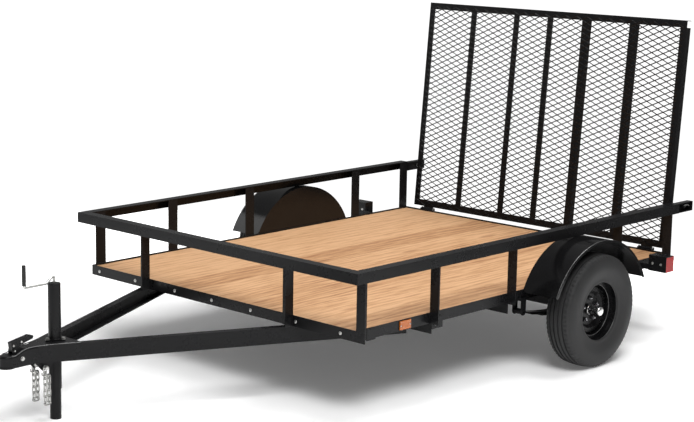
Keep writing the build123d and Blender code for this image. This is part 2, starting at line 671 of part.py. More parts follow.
# ---------------------------------------------------------------- running gear
def tyre(side):
    """Tyre with rounded shoulders and bulging walls, seated on the rim."""
    half_tread = TREAD_W / 2
    half = TYRE_W / 2
    bead = RIM_R + 0.3
    half_bead = RIM_W / 2 - 2.4
    points = [(-half_bead, bead), (-half_bead, bead + RIM_LIP + 3), (-half, TYRE_WALL_R),
              (-half + 3, TYRE_R - 40), (-half_tread, TYRE_R - 9), (-half_tread + 14, TYRE_R),
              (half_tread - 14, TYRE_R), (half_tread, TYRE_R - 9), (half - 3, TYRE_R - 40),
              (half, TYRE_WALL_R), (half_bead, bead + RIM_LIP + 3), (half_bead, bead),
              (half_bead - 16, bead), (half_bead - 14, RIM_R + 50), (half_tread - 8, TYRE_R - 24),
              (-half_tread + 8, TYRE_R - 24), (-half_bead + 14, RIM_R + 50), (-half_bead + 16, bead)]
    return lathe_x(points, WHEEL_X, side)


def wheel(side):
    """Pressed steel wheel: rim with a well, and a dished disc with its bolt face."""
    half = RIM_W / 2
    t = RIM_WALL
    disc = DISC_X - WHEEL_X
    rim = [(-half - 5, RIM_R + RIM_LIP), (-half, RIM_R + RIM_LIP), (-half + 2, RIM_R), (-14, RIM_R),
           (-10, RIM_R - 22), (22, RIM_R - 22), (26, RIM_R), (half - 2, RIM_R), (half, RIM_R + RIM_LIP),
           (half + 5, RIM_R + RIM_LIP), (half + 2, RIM_R - t), (26 - t, RIM_R - t), (22 - t, RIM_R - 22 - t),
           (-10 + t, RIM_R - 22 - t), (-14 + t, RIM_R - t), (-half - 2, RIM_R - t)]
    centre_r = CAP_R + 6
    dish = [(disc - DISC_WALL, centre_r), (disc, centre_r), (disc, 78), (disc + 14, 92), (disc + 14, 112),
            (disc + 6, RIM_R - 22 - t + 0.5), (disc + 6 - DISC_WALL, RIM_R - 22 - t + 0.5),
            (disc + 14 - DISC_WALL, 112), (disc + 14 - DISC_WALL, 94), (disc - DISC_WALL, 80)]
    body = lathe_x(rim, WHEEL_X, side) + lathe_x(dish, WHEEL_X, side)
    for index in range(NUT_COUNT):
        angle = radians(90 + index * 360 / NUT_COUNT)
        y = AXLE_Y + BOLT_CIRCLE_R * cos(angle)
        z = AXLE_Z + BOLT_CIRCLE_R * sin(angle)
        body = body - rod_x(STUD_R, (side * (DISC_X - 20), side * (DISC_X + 20)), y, z)
    return body


def lug_nuts(side):
    """Five wheel nuts on the bolt circle, against the disc, closed over their studs."""
    nuts = []
    for index in range(NUT_COUNT):
        angle = radians(90 + index * 360 / NUT_COUNT)
        y = AXLE_Y + BOLT_CIRCLE_R * cos(angle)
        z = AXLE_Z + BOLT_CIRCLE_R * sin(angle)
        nuts.append(rod_x(NUT_R, (side * DISC_X, side * (DISC_X + NUT_L)), y, z))
    return nuts


def hub(side):
    """Hub barrel with its wheel flange and studs, bored for the spindle."""
    back = side * (DISC_X - DISC_WALL)
    flange = rod_x(HUB_FLANGE_R, (back, back - side * HUB_FLANGE_T), AXLE_Y, AXLE_Z)
    barrel = rod_x(HUB_R, (side * HUB_INNER_X, back), AXLE_Y, AXLE_Z)
    nose = rod_x(CAP_R, (back, side * (DISC_X + 6)), AXLE_Y, AXLE_Z)
    body = flange + barrel + nose
    for index in range(NUT_COUNT):
        angle = radians(90 + index * 360 / NUT_COUNT)
        y = AXLE_Y + BOLT_CIRCLE_R * cos(angle)
        z = AXLE_Z + BOLT_CIRCLE_R * sin(angle)
        body = body + rod_x(STUD_R - 0.1, (back, side * DISC_X), y, z)
    bore = rod_x(SPINDLE_R + RUNNING_GAP, (side * (HUB_INNER_X - 1), side * (DISC_X + 7)), AXLE_Y, AXLE_Z)
    return body - bore


def hub_cap(side):
    """Round dust cap pressed on the hub's end."""
    start = DISC_X + 6
    cap = rod_x(CAP_R, (side * start, side * CAP_END_X), AXLE_Y, AXLE_Z)
    edge = cap.edges().filter_by(GeomType.CIRCLE).sort_by(lambda e: abs(e.center().X))[-1]
    cap = fillet(edge, 7)
    return cap - rod_x(SPINDLE_R + 4, (side * (start - 1), side * (CAP_END_X - 12)), AXLE_Y, AXLE_Z)


def axle():
    """Round axle tube with a spindle at each end."""
    end = HUB_INNER_X - 2
    beam = rod_x(AXLE_R, (-end, end), AXLE_Y, AXLE_Z)
    for _, side in SIDES:
        beam = beam + rod_x(SPINDLE_R, (side * end, side * (DISC_X + 20)), AXLE_Y, AXLE_Z)
    return beam


SPRING_TOP = AXLE_Z - AXLE_R - SPRING_SEAT_T
EYE_Z = SPRING_TOP - LEAF_T / 2 + SPRING_RISE
ARC_R = (SPRING_HALF_SPAN ** 2 + SPRING_RISE ** 2) / (2 * SPRING_RISE)


def leaf(index, half_length, x):
    """One leaf: a strip of a ring about a centre above the axle."""
    inner = ARC_R - LEAF_T / 2 + index * (LEAF_T + LEAF_GAP)
    outer = inner + LEAF_T
    centre_z = SPRING_TOP - LEAF_T / 2 + ARC_R
    half = asin(half_length / ARC_R)

    def on(radius, angle):
        return (0, AXLE_Y + radius * sin(angle), centre_z - radius * cos(angle))

    outline = [ThreePointArc(on(inner, -half), on(inner, 0), on(inner, half)),
               Line(on(inner, half), on(outer, half)),
               ThreePointArc(on(outer, half), on(outer, 0), on(outer, -half)),
               Line(on(outer, -half), on(inner, -half))]
    strip = extrude(make_face(outline), amount=SPRING_W, dir=(1, 0, 0))
    return Pos(x - SPRING_W / 2, 0, 0) * strip


def spring(side):
    """Three leaves below the axle, the longest with an eye at each end."""
    x = side * SPRING_X
    leaves = [leaf(index, half_length, x) for index, half_length in enumerate(LEAF_HALF_LENGTHS)]
    main = leaves[0]
    for end in (-1, 1):
        y = AXLE_Y + end * SPRING_HALF_SPAN
        main = main + rod_x(EYE_R, (x - SPRING_W / 2, x + SPRING_W / 2), y, EYE_Z)
    for end in (-1, 1):
        y = AXLE_Y + end * SPRING_HALF_SPAN
        main = main - rod_x(EYE_PIN_R + 0.2, (x - SPRING_W, x + SPRING_W), y, EYE_Z)
    return [main] + leaves[1:]


def hanger(side, y, z, half_w):
    """Two ears and a top plate welded below the side angle, with a pin at (y, z)."""
    x = side * SPRING_X
    pieces = block((x - half_w - HANGER_PLATE, x + half_w + HANGER_PLATE), (y - 26, y + 26),
                   (FRAME_BOTTOM - HANGER_PLATE, FRAME_BOTTOM))
    for end in (-1, 1):
        ear = (x + end * half_w, x + end * (half_w + HANGER_PLATE))
        pieces = pieces + block(ear, (y - 18, y + 18), (z, FRAME_BOTTOM - HANGER_PLATE))
        pieces = pieces + rod_x(18, ear, y, z)
    pin = (x - half_w - HANGER_PLATE - 7, x + half_w + HANGER_PLATE + 7)
    return pieces + rod_x(EYE_PIN_R, pin, y, z)


SHACKLE_DY = 26.0
SHACKLE_DZ = 34.0


def shackle(side):
    """Two links that carry the spring's rear eye from the rear hanger's pin."""
    x = side * SPRING_X
    eye = (AXLE_Y + SPRING_HALF_SPAN, EYE_Z)
    top = (eye[0] + SHACKLE_DY, eye[1] + SHACKLE_DZ)
    tilt = degrees(atan2(SHACKLE_DZ, SHACKLE_DY))
    length = hypot(SHACKLE_DY, SHACKLE_DZ)
    links = []
    for end in (-1, 1):
        inner = x + end * (SPRING_W / 2 + 0.3)
        strap = Rot(0, 0, 0) * extrude(SlotCenterToCenter(length, 24), 4)
        middle = ((eye[0] + top[0]) / 2, (eye[1] + top[1]) / 2)
        plane = Plane(origin=(inner, middle[0], middle[1]), x_dir=(0, cos(radians(tilt)), sin(radians(tilt))),
                      z_dir=(end, 0, 0))
        strap = plane * strap
        strap = strap - rod_x(EYE_PIN_R + 0.2, (x - SPRING_W, x + SPRING_W), *top)
        links.append(strap)
    low_pin = rod_x(EYE_PIN_R, (x - SPRING_W / 2 - 8, x + SPRING_W / 2 + 8), *eye)
    return links[0] + links[1] + low_pin


def spring_clamp(side):
    """Seat on the axle, tie plate below the leaves and two U-bolts round the axle."""
    x = side * SPRING_X
    seat = block((x - SPRING_W / 2, x + SPRING_W / 2), (AXLE_Y - 25, AXLE_Y + 25),
                 (SPRING_TOP + 0.3, AXLE_Z - AXLE_R * 0.5))
    seat = seat - rod_x(AXLE_R + 0.2, (x - SPRING_W, x + SPRING_W), AXLE_Y, AXLE_Z)
    pack_bottom = SPRING_TOP - len(LEAF_HALF_LENGTHS) * (LEAF_T + LEAF_GAP)
    half = SPRING_W / 2 + U_BOLT_R + 0.5
    reach = AXLE_R + U_BOLT_R + 0.3
    plate = block((x - half - 10, x + half + 10), (AXLE_Y - reach - 12, AXLE_Y + reach + 12),
                  (pack_bottom - 0.2 - TIE_PLATE_T, pack_bottom - 0.2))
    pieces = [seat, plate]
    for end in (-1, 1):
        at = x + end * half
        crown = Pos(at, AXLE_Y, AXLE_Z) * Rot(0, 90, 0) * Torus(reach, U_BOLT_R)
        crown = crown - block((at - 10, at + 10), (AXLE_Y - 60, AXLE_Y + 60), (AXLE_Z - 60, AXLE_Z))
        for way in (-1, 1):
            crown = crown + rod_z(U_BOLT_R, at, AXLE_Y + way * reach,
                                  (pack_bottom - TIE_PLATE_T - 16, AXLE_Z))
        pieces.append(crown)
    joined = pieces[1] + pieces[2] + pieces[3]
    return [seat, joined]


def fender_drum(inset, x, low):
    """The part above low of a drum as wide as x, inset from the fender's outer surface."""
    radius = FENDER_R - inset
    drum = rod_x(radius, x, FENDER_Y, FENDER_CENTRE_Z)
    reach = FENDER_R + 10
    return drum & block((x[0], x[1]), (FENDER_Y - reach, FENDER_Y + reach), (low, FENDER_CENTRE_Z + reach))


def fender(side):
    """Round fender: a top skin, a lip on its outer edge and a closed inner plate."""
    inner_x = HALF_W
    outer_x = FENDER_OUTER_X
    t = FENDER_T
    shell = fender_drum(0, (side * inner_x, side * outer_x), FENDER_END_Z)
    shell = shell - fender_drum(t, (side * (inner_x + t), side * (outer_x - t)), FENDER_END_Z - 60)
    shell = shell - fender_drum(FENDER_LIP, (side * (outer_x - 2 * t), side * (outer_x + t)), FENDER_END_Z - 60)
    foot = fender_drum(0, (side * inner_x, side * (inner_x + t)), FENDER_PLATE_BOTTOM)
    foot = foot & block((side * inner_x, side * (inner_x + t)),
                        (FENDER_Y - FENDER_R - 1, FENDER_Y + FENDER_R + 1), (FENDER_PLATE_BOTTOM, FENDER_END_Z))
    return shell + foot


# ---------------------------------------------------------------- ramp gate
def gate_place(shape):
    """From the gate's own frame (pin at the origin, gate upright) to its latched pose."""
    return Pos(0, HINGE_Y, HINGE_Z) * Rot(-GATE_LEAN, 0, 0) * shape


def gate_upright(low, leg_at_high):
    """One upright angle of the gate; low is its left edge, the rear leg on the named edge."""
    bottom = GATE_LIFT + GATE_LEG
    top = GATE_LIFT + GATE_H - GATE_LEG
    return gate_angle((low, low + GATE_LEG), (bottom, top), leg_at_high)


def gate_angle(x, z, leg_at_high):
    """An upright angle: a flat leg across x and a rear leg on one of its edges."""
    flat = block(x, (GATE_FRONT, GATE_FRONT + GATE_WALL), z)
    edge = (x[1] - GATE_WALL, x[1]) if leg_at_high else (x[0], x[0] + GATE_WALL)
    leg = block(edge, (GATE_FRONT + GATE_WALL, GATE_FRONT + GATE_LEG), z)
    return flat + leg


def gate_rails():
    """Top and bottom angles of the gate over its full width, rear legs on the outer edges."""
    half = GATE_W / 2
    rails = []
    for low, leg_high in ((GATE_LIFT, False), (GATE_LIFT + GATE_H - GATE_LEG, True)):
        flat = block((-half, half), (GATE_FRONT, GATE_FRONT + GATE_WALL), (low, low + GATE_LEG))
        edge = (low + GATE_LEG - GATE_WALL, low + GATE_LEG) if leg_high else (low, low + GATE_WALL)
        leg = block((-half, half), (GATE_FRONT + GATE_WALL, GATE_FRONT + GATE_LEG), edge)
        rails.append(gate_place(flat + leg))
    return rails


def gate_uprights():
    """Two side angles and five stiffeners between the gate's rails."""
    half = GATE_W / 2
    first, second = GATE_PANELS
    lows = [-half, -half + first, -half + first + second, -GATE_LEG / 2,
            half - first - second - GATE_LEG, half - first - GATE_LEG, half - GATE_LEG]
    uprights = []
    for low in lows:
        uprights.append(gate_place(gate_upright(low, low > 0)))
    return uprights


def mesh_strands(slope_sign, layer):
    """Parallel slanting strips of the expanded metal, cut off at the gate's edges."""
    half = GATE_W / 2 - 4
    bottom = GATE_LIFT + 4
    top = GATE_LIFT + GATE_H - 4
    slope = slope_sign * MESH_SHORT / MESH_LONG
    run = 1 / hypot(1, slope)
    half_w_z = STRAND_W / 2 / run
    back = GATE_FRONT - layer * STRAND_T
    pitch = MESH_SHORT
    reach = half * abs(slope)
    count = int((top - bottom + 2 * reach) / pitch) + 1
    strips = []
    for index in range(count):
        middle = bottom - reach + (index + 0.5) * pitch
        low_x, high_x = -half, half
        ends = sorted(((bottom + half_w_z - middle) / slope, (top - half_w_z - middle) / slope))
        low_x = max(low_x, ends[0])
        high_x = min(high_x, ends[1])
        if high_x - low_x < MESH_LONG / 2:
            continue
        corners = [(low_x, middle + slope * low_x - half_w_z), (high_x, middle + slope * high_x - half_w_z),
                   (high_x, middle + slope * high_x + half_w_z), (low_x, middle + slope * low_x + half_w_z)]
        face = make_face(Polyline(*[(x, back, z) for x, z in corners], close=True))
        strips.append(gate_place(extrude(face, amount=STRAND_T, dir=(0, -1, 0))))
    return strips


def hinge_parts(side):
    """Fixed ears and pin of one hinge, and the barrel on the gate with its tab."""
    x = side * HINGE_X
    half = BARREL_L / 2
    gap = 0.5
    fixed = rod_x(HINGE_PIN_R, (x - half - gap - EAR_T - 4, x + half + gap + EAR_T + 4), HINGE_Y, HINGE_Z)
    for end in (-1, 1):
        ear = (x + end * (half + gap), x + end * (half + gap + EAR_T))
        fixed = fixed + block(ear, (BED_L, HINGE_Y), (HINGE_Z - BARREL_R - 12, HINGE_Z + BARREL_R * 0.6))
        fixed = fixed + rod_x(BARREL_R, ear, HINGE_Y, HINGE_Z)
    tab = block((x - half, x + half), (GATE_FRONT, GATE_FRONT + GATE_WALL), (0, GATE_LIFT))
    barrel = tab + rod_x(BARREL_R, (x - half, x + half), 0, 0)
    barrel = barrel - rod_x(HINGE_PIN_R + RUNNING_GAP, (x - half - 1, x + half + 1), 0, 0)
    return fixed, gate_place(barrel)


# ---------------------------------------------------------------- gate latches and lamps
def gate_latch(side):
    """Channel arm open outward behind each side rail, with a bolt beside the gate."""
    outer = side * (HALF_W + GATE_LATCH_OUT)
    inner = outer - side * GATE_LATCH_W
    top = GATE_LATCH_TOP
    bottom = top - GATE_LATCH_H
    start = RAIL_END
    back = LATCH_BACK
    t = GATE_LATCH_WALL
    arm = block((inner, inner + side * t), (start, back), (bottom, top))
    arm = arm + block((outer, inner), (start, back), (top - t, top))
    arm = arm + block((outer, inner), (start, back), (bottom, bottom + t))
    arm = arm + block((outer, inner), (back - t, back), (bottom, top))
    arm = arm + block((outer, inner), (start, start + t), (bottom, top))
    bolt_y = start + GATE_LATCH_L * 0.55
    gate_edge = side * (GATE_W / 2 + LATCH_BOLT_GAP)
    bolt = rod_x(LATCH_BOLT_R, (outer - side * t, gate_edge), bolt_y, (top + bottom) / 2)
    return arm + bolt


def tail_lamp(side):
    """Black housing on an arm outboard of the frame, and the red lens behind and outside it."""
    inner = HALF_W + TAIL_STANDOFF
    top = TAIL_BOTTOM + TAIL_H
    t = TAIL_PLATE
    front = block((side * inner, side * (inner + TAIL_W)), (TAIL_Y, TAIL_Y + t), (TAIL_BOTTOM, top))
    roof = block((side * inner, side * (inner + TAIL_W)), (TAIL_Y + t, TAIL_Y + TAIL_D - t), (top - t, top))
    cheek = block((side * inner, side * (inner + t)), (TAIL_Y + t, TAIL_Y + TAIL_D - t), (TAIL_BOTTOM, top))
    arm = block((side * HALF_W, side * inner), (TAIL_Y, TAIL_Y + t),
                (TAIL_BOTTOM + 4, FRAME_TOP - 4))
    lens = block((side * (inner + t), side * (inner + TAIL_W)), (TAIL_Y + t, TAIL_Y + TAIL_D),
                 (TAIL_BOTTOM + 1, top - t))
    return front + roof + cheek + arm, lens


def side_marker(side):
    """Amber side marker lamp on the frame's outer face."""
    middle = (FRAME_BOTTOM + FRAME_TOP) / 2
    body = block((side * HALF_W, side * (HALF_W + MARKER_T)), (MARKER_Y - MARKER_L / 2, MARKER_Y + MARKER_L / 2),
                 (middle - MARKER_H / 2, middle + MARKER_H / 2))
    return body


# ---------------------------------------------------------------- all pieces
def both(make):
    """One piece for each side of the trailer."""
    pieces = []
    for _, side in SIDES:
        made = make(side)
        pieces += made if isinstance(made, list) else [made]
    return pieces


def spring_hangers(side):
    """Front hanger and rear hanger of one spring."""
    front = hanger(side, AXLE_Y - SPRING_HALF_SPAN, EYE_Z, SPRING_W / 2 + 0.4)
    rear = hanger(side, AXLE_Y + SPRING_HALF_SPAN + SHACKLE_DY, EYE_Z + SHACKLE_DZ, SPRING_W / 2 + 5.0)
    return [front, rear]


def main():
    """Builds and writes every node."""
    os.makedirs("parts", exist_ok=True)
    write("frame_ends", [end_angle(0, 1), end_angle(BED_L, -1)])
    write("frame_sides", both(side_angle))
    write("crossmembers", [crossmember(station) for station in CROSS_STATIONS] + both(side_plates))
    write("deck_boards", deck_boards())
    write("top_rail_front", front_rail())
    write("top_rails_side", both(side_rail))
    write("posts_front", front_posts())
    write("posts_side", both(side_posts))
    write("tongue_channels", both(tongue_channel))
    write("coupler", coupler())
    write("coupler_latch", coupler_latch())
    pin_half = LATCH_W / 2 + LATCH_PLATE + 3
    write("coupler_latch_pin", rod_x(LATCH_PIN_R, (-pin_half, pin_half), LATCH_PIVOT_Y, LATCH_PIVOT_Z))
    write("jack_tube", jack_tube())
    write("jack_ram", jack_ram())
    write("jack_crank", jack_crank())
    write("jack_grip", jack_grip())
    write("axle", axle())
    write("springs", both(spring))
    write("spring_hangers", both(spring_hangers))
    write("spring_shackles", both(shackle))
    write("spring_clamps", both(spring_clamp))
    write("fenders", both(fender))
    write("gate_rails", gate_rails())
    write("gate_uprights", gate_uprights())
    write("gate_mesh", mesh_strands(1, 0) + mesh_strands(-1, 1))
    hinges = [hinge_parts(side) for _, side in SIDES]
    write("hinge_ears", [fixed for fixed, _ in hinges])
    write("hinge_barrels", [barrel for _, barrel in hinges])
    write("gate_latches", both(gate_latch))
    write("side_markers", both(side_marker))
    lamps = [tail_lamp(side) for _, side in SIDES]
    write("tail_lamp_brackets", [bracket for bracket, _ in lamps])
    write("tail_lamp_lenses", [lens for _, lens in lamps])
    write("chain_plates", both(chain_plate))
    write("chain_bolts", both(chain_bolt))
    write("safety_chains", both(chain))
    write("chain_hooks", both(chain_hook))
    for name, side in SIDES:
        write("tyre_" + name, tyre(side))
        write("wheel_" + name, wheel(side))
        write("hub_" + name, hub(side))
        write("hub_cap_" + name, hub_cap(side))
        write("lug_nuts_" + name, lug_nuts(side))


main()
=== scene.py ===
"""Dresses a single-axle utility trailer: paint, boards, rubber, plating, mesh and fastenings.

Lengths are metres in the trailer's own frame: +Z up, -Y towards the coupler and
+X the trailer's left side, with the ground at z = 0.
"""

import json
import logging
import math
from dataclasses import dataclass
from enum import Enum
from typing import Any, Callable, List, Mapping, Optional, Sequence, Tuple, Union

import bmesh
import bpy
import numpy as np
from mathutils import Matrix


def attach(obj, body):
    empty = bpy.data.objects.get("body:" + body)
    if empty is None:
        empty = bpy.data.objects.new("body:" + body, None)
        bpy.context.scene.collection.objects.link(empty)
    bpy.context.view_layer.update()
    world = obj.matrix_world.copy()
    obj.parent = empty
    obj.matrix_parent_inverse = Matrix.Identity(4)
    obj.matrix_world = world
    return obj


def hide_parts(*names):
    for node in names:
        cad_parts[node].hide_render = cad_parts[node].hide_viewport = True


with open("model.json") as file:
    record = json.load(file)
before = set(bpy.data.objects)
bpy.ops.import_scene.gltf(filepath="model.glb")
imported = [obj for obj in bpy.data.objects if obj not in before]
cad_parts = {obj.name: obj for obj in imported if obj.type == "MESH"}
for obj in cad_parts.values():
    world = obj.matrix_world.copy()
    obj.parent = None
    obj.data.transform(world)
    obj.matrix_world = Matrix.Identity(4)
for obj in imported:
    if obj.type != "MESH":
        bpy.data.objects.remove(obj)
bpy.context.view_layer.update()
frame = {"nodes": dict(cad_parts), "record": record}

LOG = logging.getLogger("trailer")
Colour = Tuple[float, float, float]
Point = Tuple[float, float, float]

FRONT_Y = -0.674374                            # front face of the deck frame
AXLE_Y = FRONT_Y + 1.519
TONGUE_APEX = 1.137                            # from the front face to where the A's outer faces meet
TONGUE_SLOPE = math.tan(math.radians(25.0))    # the A's half-width gained in a metre
ALONG_X: Point = (1.0, 0.0, 0.0)
UP: Point = (0.0, 0.0, 1.0)
SIDES = (1, -1)                                # left and right


# ------------------------------------------------------------------ shader maths
def _operator(operation: str, swapped: bool = False) -> Callable[["Socket", "Value"], "Socket"]:
    """Makes an arithmetic method that adds one Math node.

    Args:
        operation: the node's operation.
        swapped: whether the other value comes first.

    Returns:
        The method.
    """
    def method(self: "Socket", other: "Value") -> "Socket":
        """The two values after the operation."""
        first, second = (other, self) if swapped else (self, other)
        return self.graph.node("ShaderNodeMath", {"operation": operation}, {0: first, 1: second})
    return method


class Socket:
    """An output socket whose arithmetic adds Math nodes to its graph."""

    __add__ = _operator("ADD")
    __radd__ = _operator("ADD", swapped=True)
    __sub__ = _operator("SUBTRACT")
    __rsub__ = _operator("SUBTRACT", swapped=True)
    __mul__ = _operator("MULTIPLY")
    __truediv__ = _operator("DIVIDE")
    __pow__ = _operator("POWER")

    def __init__(self, graph: "Graph", link: bpy.types.NodeSocket) -> None:
        """Keeps the graph that new nodes go into and the output socket."""
        self.graph = graph
        self.link = link

    def floor(self) -> "Socket":
        """The whole part below the value."""
        return self.graph.node("ShaderNodeMath", {"operation": "FLOOR"}, {0: self})

    def sine(self) -> "Socket":
        """The sine of the value."""
        return self.graph.node("ShaderNodeMath", {"operation": "SINE"}, {0: self})

    def between(self, low: float, high: float) -> "Socket":
        """0 at low, 1 at high, straight between them and held outside."""
        return self.graph.node("ShaderNodeMapRange", {"clamp": True},
                               {"Value": self, "From Min": low, "From Max": high})


Value = Union[Socket, float, int, Sequence[float]]


class Graph:
    """One material's nodes."""

    def __init__(self, name: str) -> None:
        """Makes an empty material of this name."""
        self.material = bpy.data.materials.new(name)
        self.material.use_nodes = True
        self.tree = self.material.node_tree
        self.tree.nodes.clear()

    def node(self, kind: str, settings: Optional[Mapping[str, Any]] = None,
             inputs: Optional[Mapping[Any, Value]] = None, output: Union[int, str] = 0) -> Socket:
        """Adds a node of any type.

        Args:
            kind: the node's type.
            settings: its properties; "stops" gives a ramp's (place, colour) pairs.
            inputs: values or sockets by input name or number.
            output: which output to return.

        Returns:
            The chosen output.
        """
        made = self.tree.nodes.new(kind)
        for key, value in (settings or {}).items():
            if key == "stops":
                self._stops(made.color_ramp, value)
            else:
                setattr(made, key, value)
        for key, value in (inputs or {}).items():
            if isinstance(value, Socket):
                self.tree.links.new(value.link, made.inputs[key])
            else:
                made.inputs[key].default_value = value
        return Socket(self, made.outputs[output]) if len(made.outputs) else made

    @staticmethod
    def _stops(ramp: bpy.types.ColorRamp, stops: Sequence[Tuple[float, Colour]]) -> None:
        """Sets a ramp's stops.

        Args:
            ramp: the ramp.
            stops: its (place, colour) pairs in order.
        """
        while len(ramp.elements) < len(stops):
            ramp.elements.new(1.0)
        for element, (place, colour) in zip(ramp.elements, stops):
            element.position = place
            element.color = (*colour, 1.0)

    def place(self) -> Socket:
        """Object coordinates, which are the trailer's frame."""
        return self.node("ShaderNodeTexCoord", output="Object")

    def axes(self, vector: Socket) -> List[Socket]:
        """The vector's X, Y and Z as separate values."""
        split = self.tree.nodes.new("ShaderNodeSeparateXYZ")
        self.tree.links.new(vector.link, split.inputs[0])
        return [Socket(self, out) for out in split.outputs]

    def vector(self, x: Value, y: Value, z: Value) -> Socket:
        """A vector from three values."""
        return self.node("ShaderNodeCombineXYZ", None, {0: x, 1: y, 2: z})

    def noise(self, vector: Socket, scale: float, detail: float = 3.0, roughness: float = 0.5) -> Socket:
        """Noise from 0 to 1, with so many features in a metre and finer layers of some strength."""
        return self.node("ShaderNodeTexNoise", None,
                         {"Vector": vector, "Scale": scale, "Detail": detail, "Roughness": roughness})

    def blend(self, share: Value, first: Union[Socket, Colour], second: Union[Socket, Colour]) -> Socket:
        """Two colours mixed: a share of 0 gives the first and 1 the second."""
        pair = [c if isinstance(c, Socket) else (*c, 1.0) for c in (first, second)]
        return self.node("ShaderNodeMix", {"data_type": "RGBA"}, {0: share, 6: pair[0], 7: pair[1]}, output=2)

    def ramp(self, value: Socket, stops: Sequence[Tuple[float, Colour]]) -> Socket:
        """A colour ramp over a value."""
        return self.node("ShaderNodeValToRGB", {"stops": stops}, {0: value})

    def bump(self, height: Socket, depth: float, strength: float = 1.0) -> Socket:
        """A bumped normal; depth is the height's full swing in metres."""
        return self.node("ShaderNodeBump", None, {"Height": height, "Distance": depth, "Strength": strength})

    def surface(self, constants: Mapping[str, Any], links: Mapping[str, Socket]) -> bpy.types.Material:
        """Ends the material in one Principled shader.

        Args:
            constants: what is the same all over.
            links: what changes over the surface.

        Returns:
            The finished material.
        """
        shader = self.node("ShaderNodeBsdfPrincipled", None, {**constants, **links})
        self.node("ShaderNodeOutputMaterial", None, {"Surface": shader})
        return self.material


def placed(name: str, data: bpy.types.ID) -> bpy.types.Object:
    """Makes an object of its data and links it to the scene."""
    made = bpy.data.objects.new(name, data)
    bpy.context.scene.collection.objects.link(made)
    return made


# ------------------------------------------------------------------ finishes
@dataclass(frozen=True)
class PaintFinish:
    """Black paint over welded steel: slight orange peel, and a little dust."""

    name: str = "black_paint"
    colour: Colour = (0.0080, 0.0080, 0.0086)
    dust: Colour = (0.0120, 0.0118, 0.0116)
    sheen: float = 0.28
    shine: float = 0.15

    def make(self) -> bpy.types.Material:
        """Builds the material."""
        g = Graph(self.name)
        p = g.place()
        cloud = g.noise(p, 7.0, 5.0, 0.6)
        peel = g.noise(p, 420.0, 2.0)
        speck = g.noise(p, 90.0, 4.0, 0.7)
        colour = g.blend(cloud.between(0.45, 0.8) * 0.35, self.colour, self.dust)
        rough = self.sheen + (cloud - 0.5) * 0.12 + (speck - 0.5) * 0.04
        return g.surface({"Specular IOR Level": self.shine, "IOR": 1.5},
                         {"Base Color": colour, "Roughness": rough,
                          "Normal": g.bump(peel, 0.00005, 0.4)})


@dataclass(frozen=True)
class BoardFinish:
    """Planed softwood boards that run along Y, each with its own tone, grain and knots."""

    name: str = "pine_boards"
    light: Colour = (0.65, 0.385, 0.205)
    middle: Colour = (0.50, 0.272, 0.130)
    dark: Colour = (0.30, 0.13, 0.052)
    # painted shade: the dull grey of the boards' underside
    under: Colour = (0.10, 0.098, 0.095)
    deck_bottom: float = 0.3588
    half_width: float = 0.90895
    pitch: float = 0.18179

    def make(self) -> bpy.types.Material:
        """Builds the material.

        Grain is noise stretched along the board; growth bands are a sine of the
        distance across, bent by slower noise; each board reads its own stretch.
        The underside is painted a dull grey: painted shade.
        """
        g = Graph(self.name)
        p = g.place()
        x, y, z = g.axes(p)
        board = ((x + self.half_width) / self.pitch).floor()
        tone = g.node("ShaderNodeTexWhiteNoise", {"noise_dimensions": "1D"}, {"W": board + 0.37})
        shift = board * 7.31
        bend = g.noise(g.vector(x * 6.0 + shift, y * 0.9 + shift, z * 6.0), 1.0, 2.0)
        fibre = g.noise(g.vector(x * 230.0 + shift, y * 14.0 + shift, z * 230.0), 1.0, 4.0, 0.65)
        streak = g.noise(g.vector(x * 60.0 + shift, y * 4.5 + shift, z * 60.0), 1.0, 4.0, 0.62)
        band = ((x * 150.0 + bend * 26.0 + shift).sine() + 1.0) * 0.5
        knot_place = g.vector(x * 5.5 + shift, y * 1.4 + shift * 0.5, 0.0)
        knots = g.node("ShaderNodeTexVoronoi", {"feature": "F1"}, {"Vector": knot_place, "Scale": 1.0})
        knot = 1.0 - knots.between(0.05, 0.13)
        grain = band * 0.08 + streak * 0.58 + fibre * 0.34 + (tone - 0.5) * 0.14
        colour = g.ramp(grain, ((0.32, self.dark), (0.46, self.middle), (0.60, self.light)))
        colour = g.blend(knot * 0.6, colour, self.dark)
        # painted shade: the underside below the deck's bottom takes the dull grey
        outside_painted_shade = (z - self.deck_bottom).between(0.0006, 0.0012)
        colour = g.blend(outside_painted_shade, self.under, colour)
        rough = 0.58 + (fibre - 0.5) * 0.2
        height = fibre * 0.6 + streak * 0.4
        return g.surface({"IOR": 1.45}, {"Base Color": colour, "Roughness": rough,
                                         "Normal": g.bump(height, 0.0006, 0.6)})


@dataclass(frozen=True)
class RubberFinish:
    """Tyre rubber with a dusty bloom."""

    name: str = "tyre_rubber"
    colour: Colour = (0.0145, 0.0145, 0.0150)
    bloom: Colour = (0.029, 0.0287, 0.0284)

    def make(self) -> bpy.types.Material:
        """Builds the material."""
        g = Graph(self.name)
        p = g.place()
        cloud = g.noise(p, 16.0, 5.0, 0.6)
        grit = g.noise(p, 900.0, 2.0)
        colour = g.blend(cloud.between(0.4, 0.85) * 0.5, self.colour, self.bloom)
        return g.surface({"IOR": 1.45}, {"Base Color": colour, "Roughness": 0.62 + (cloud - 0.5) * 0.2,
                                         "Normal": g.bump(grit, 0.0001, 0.5)})


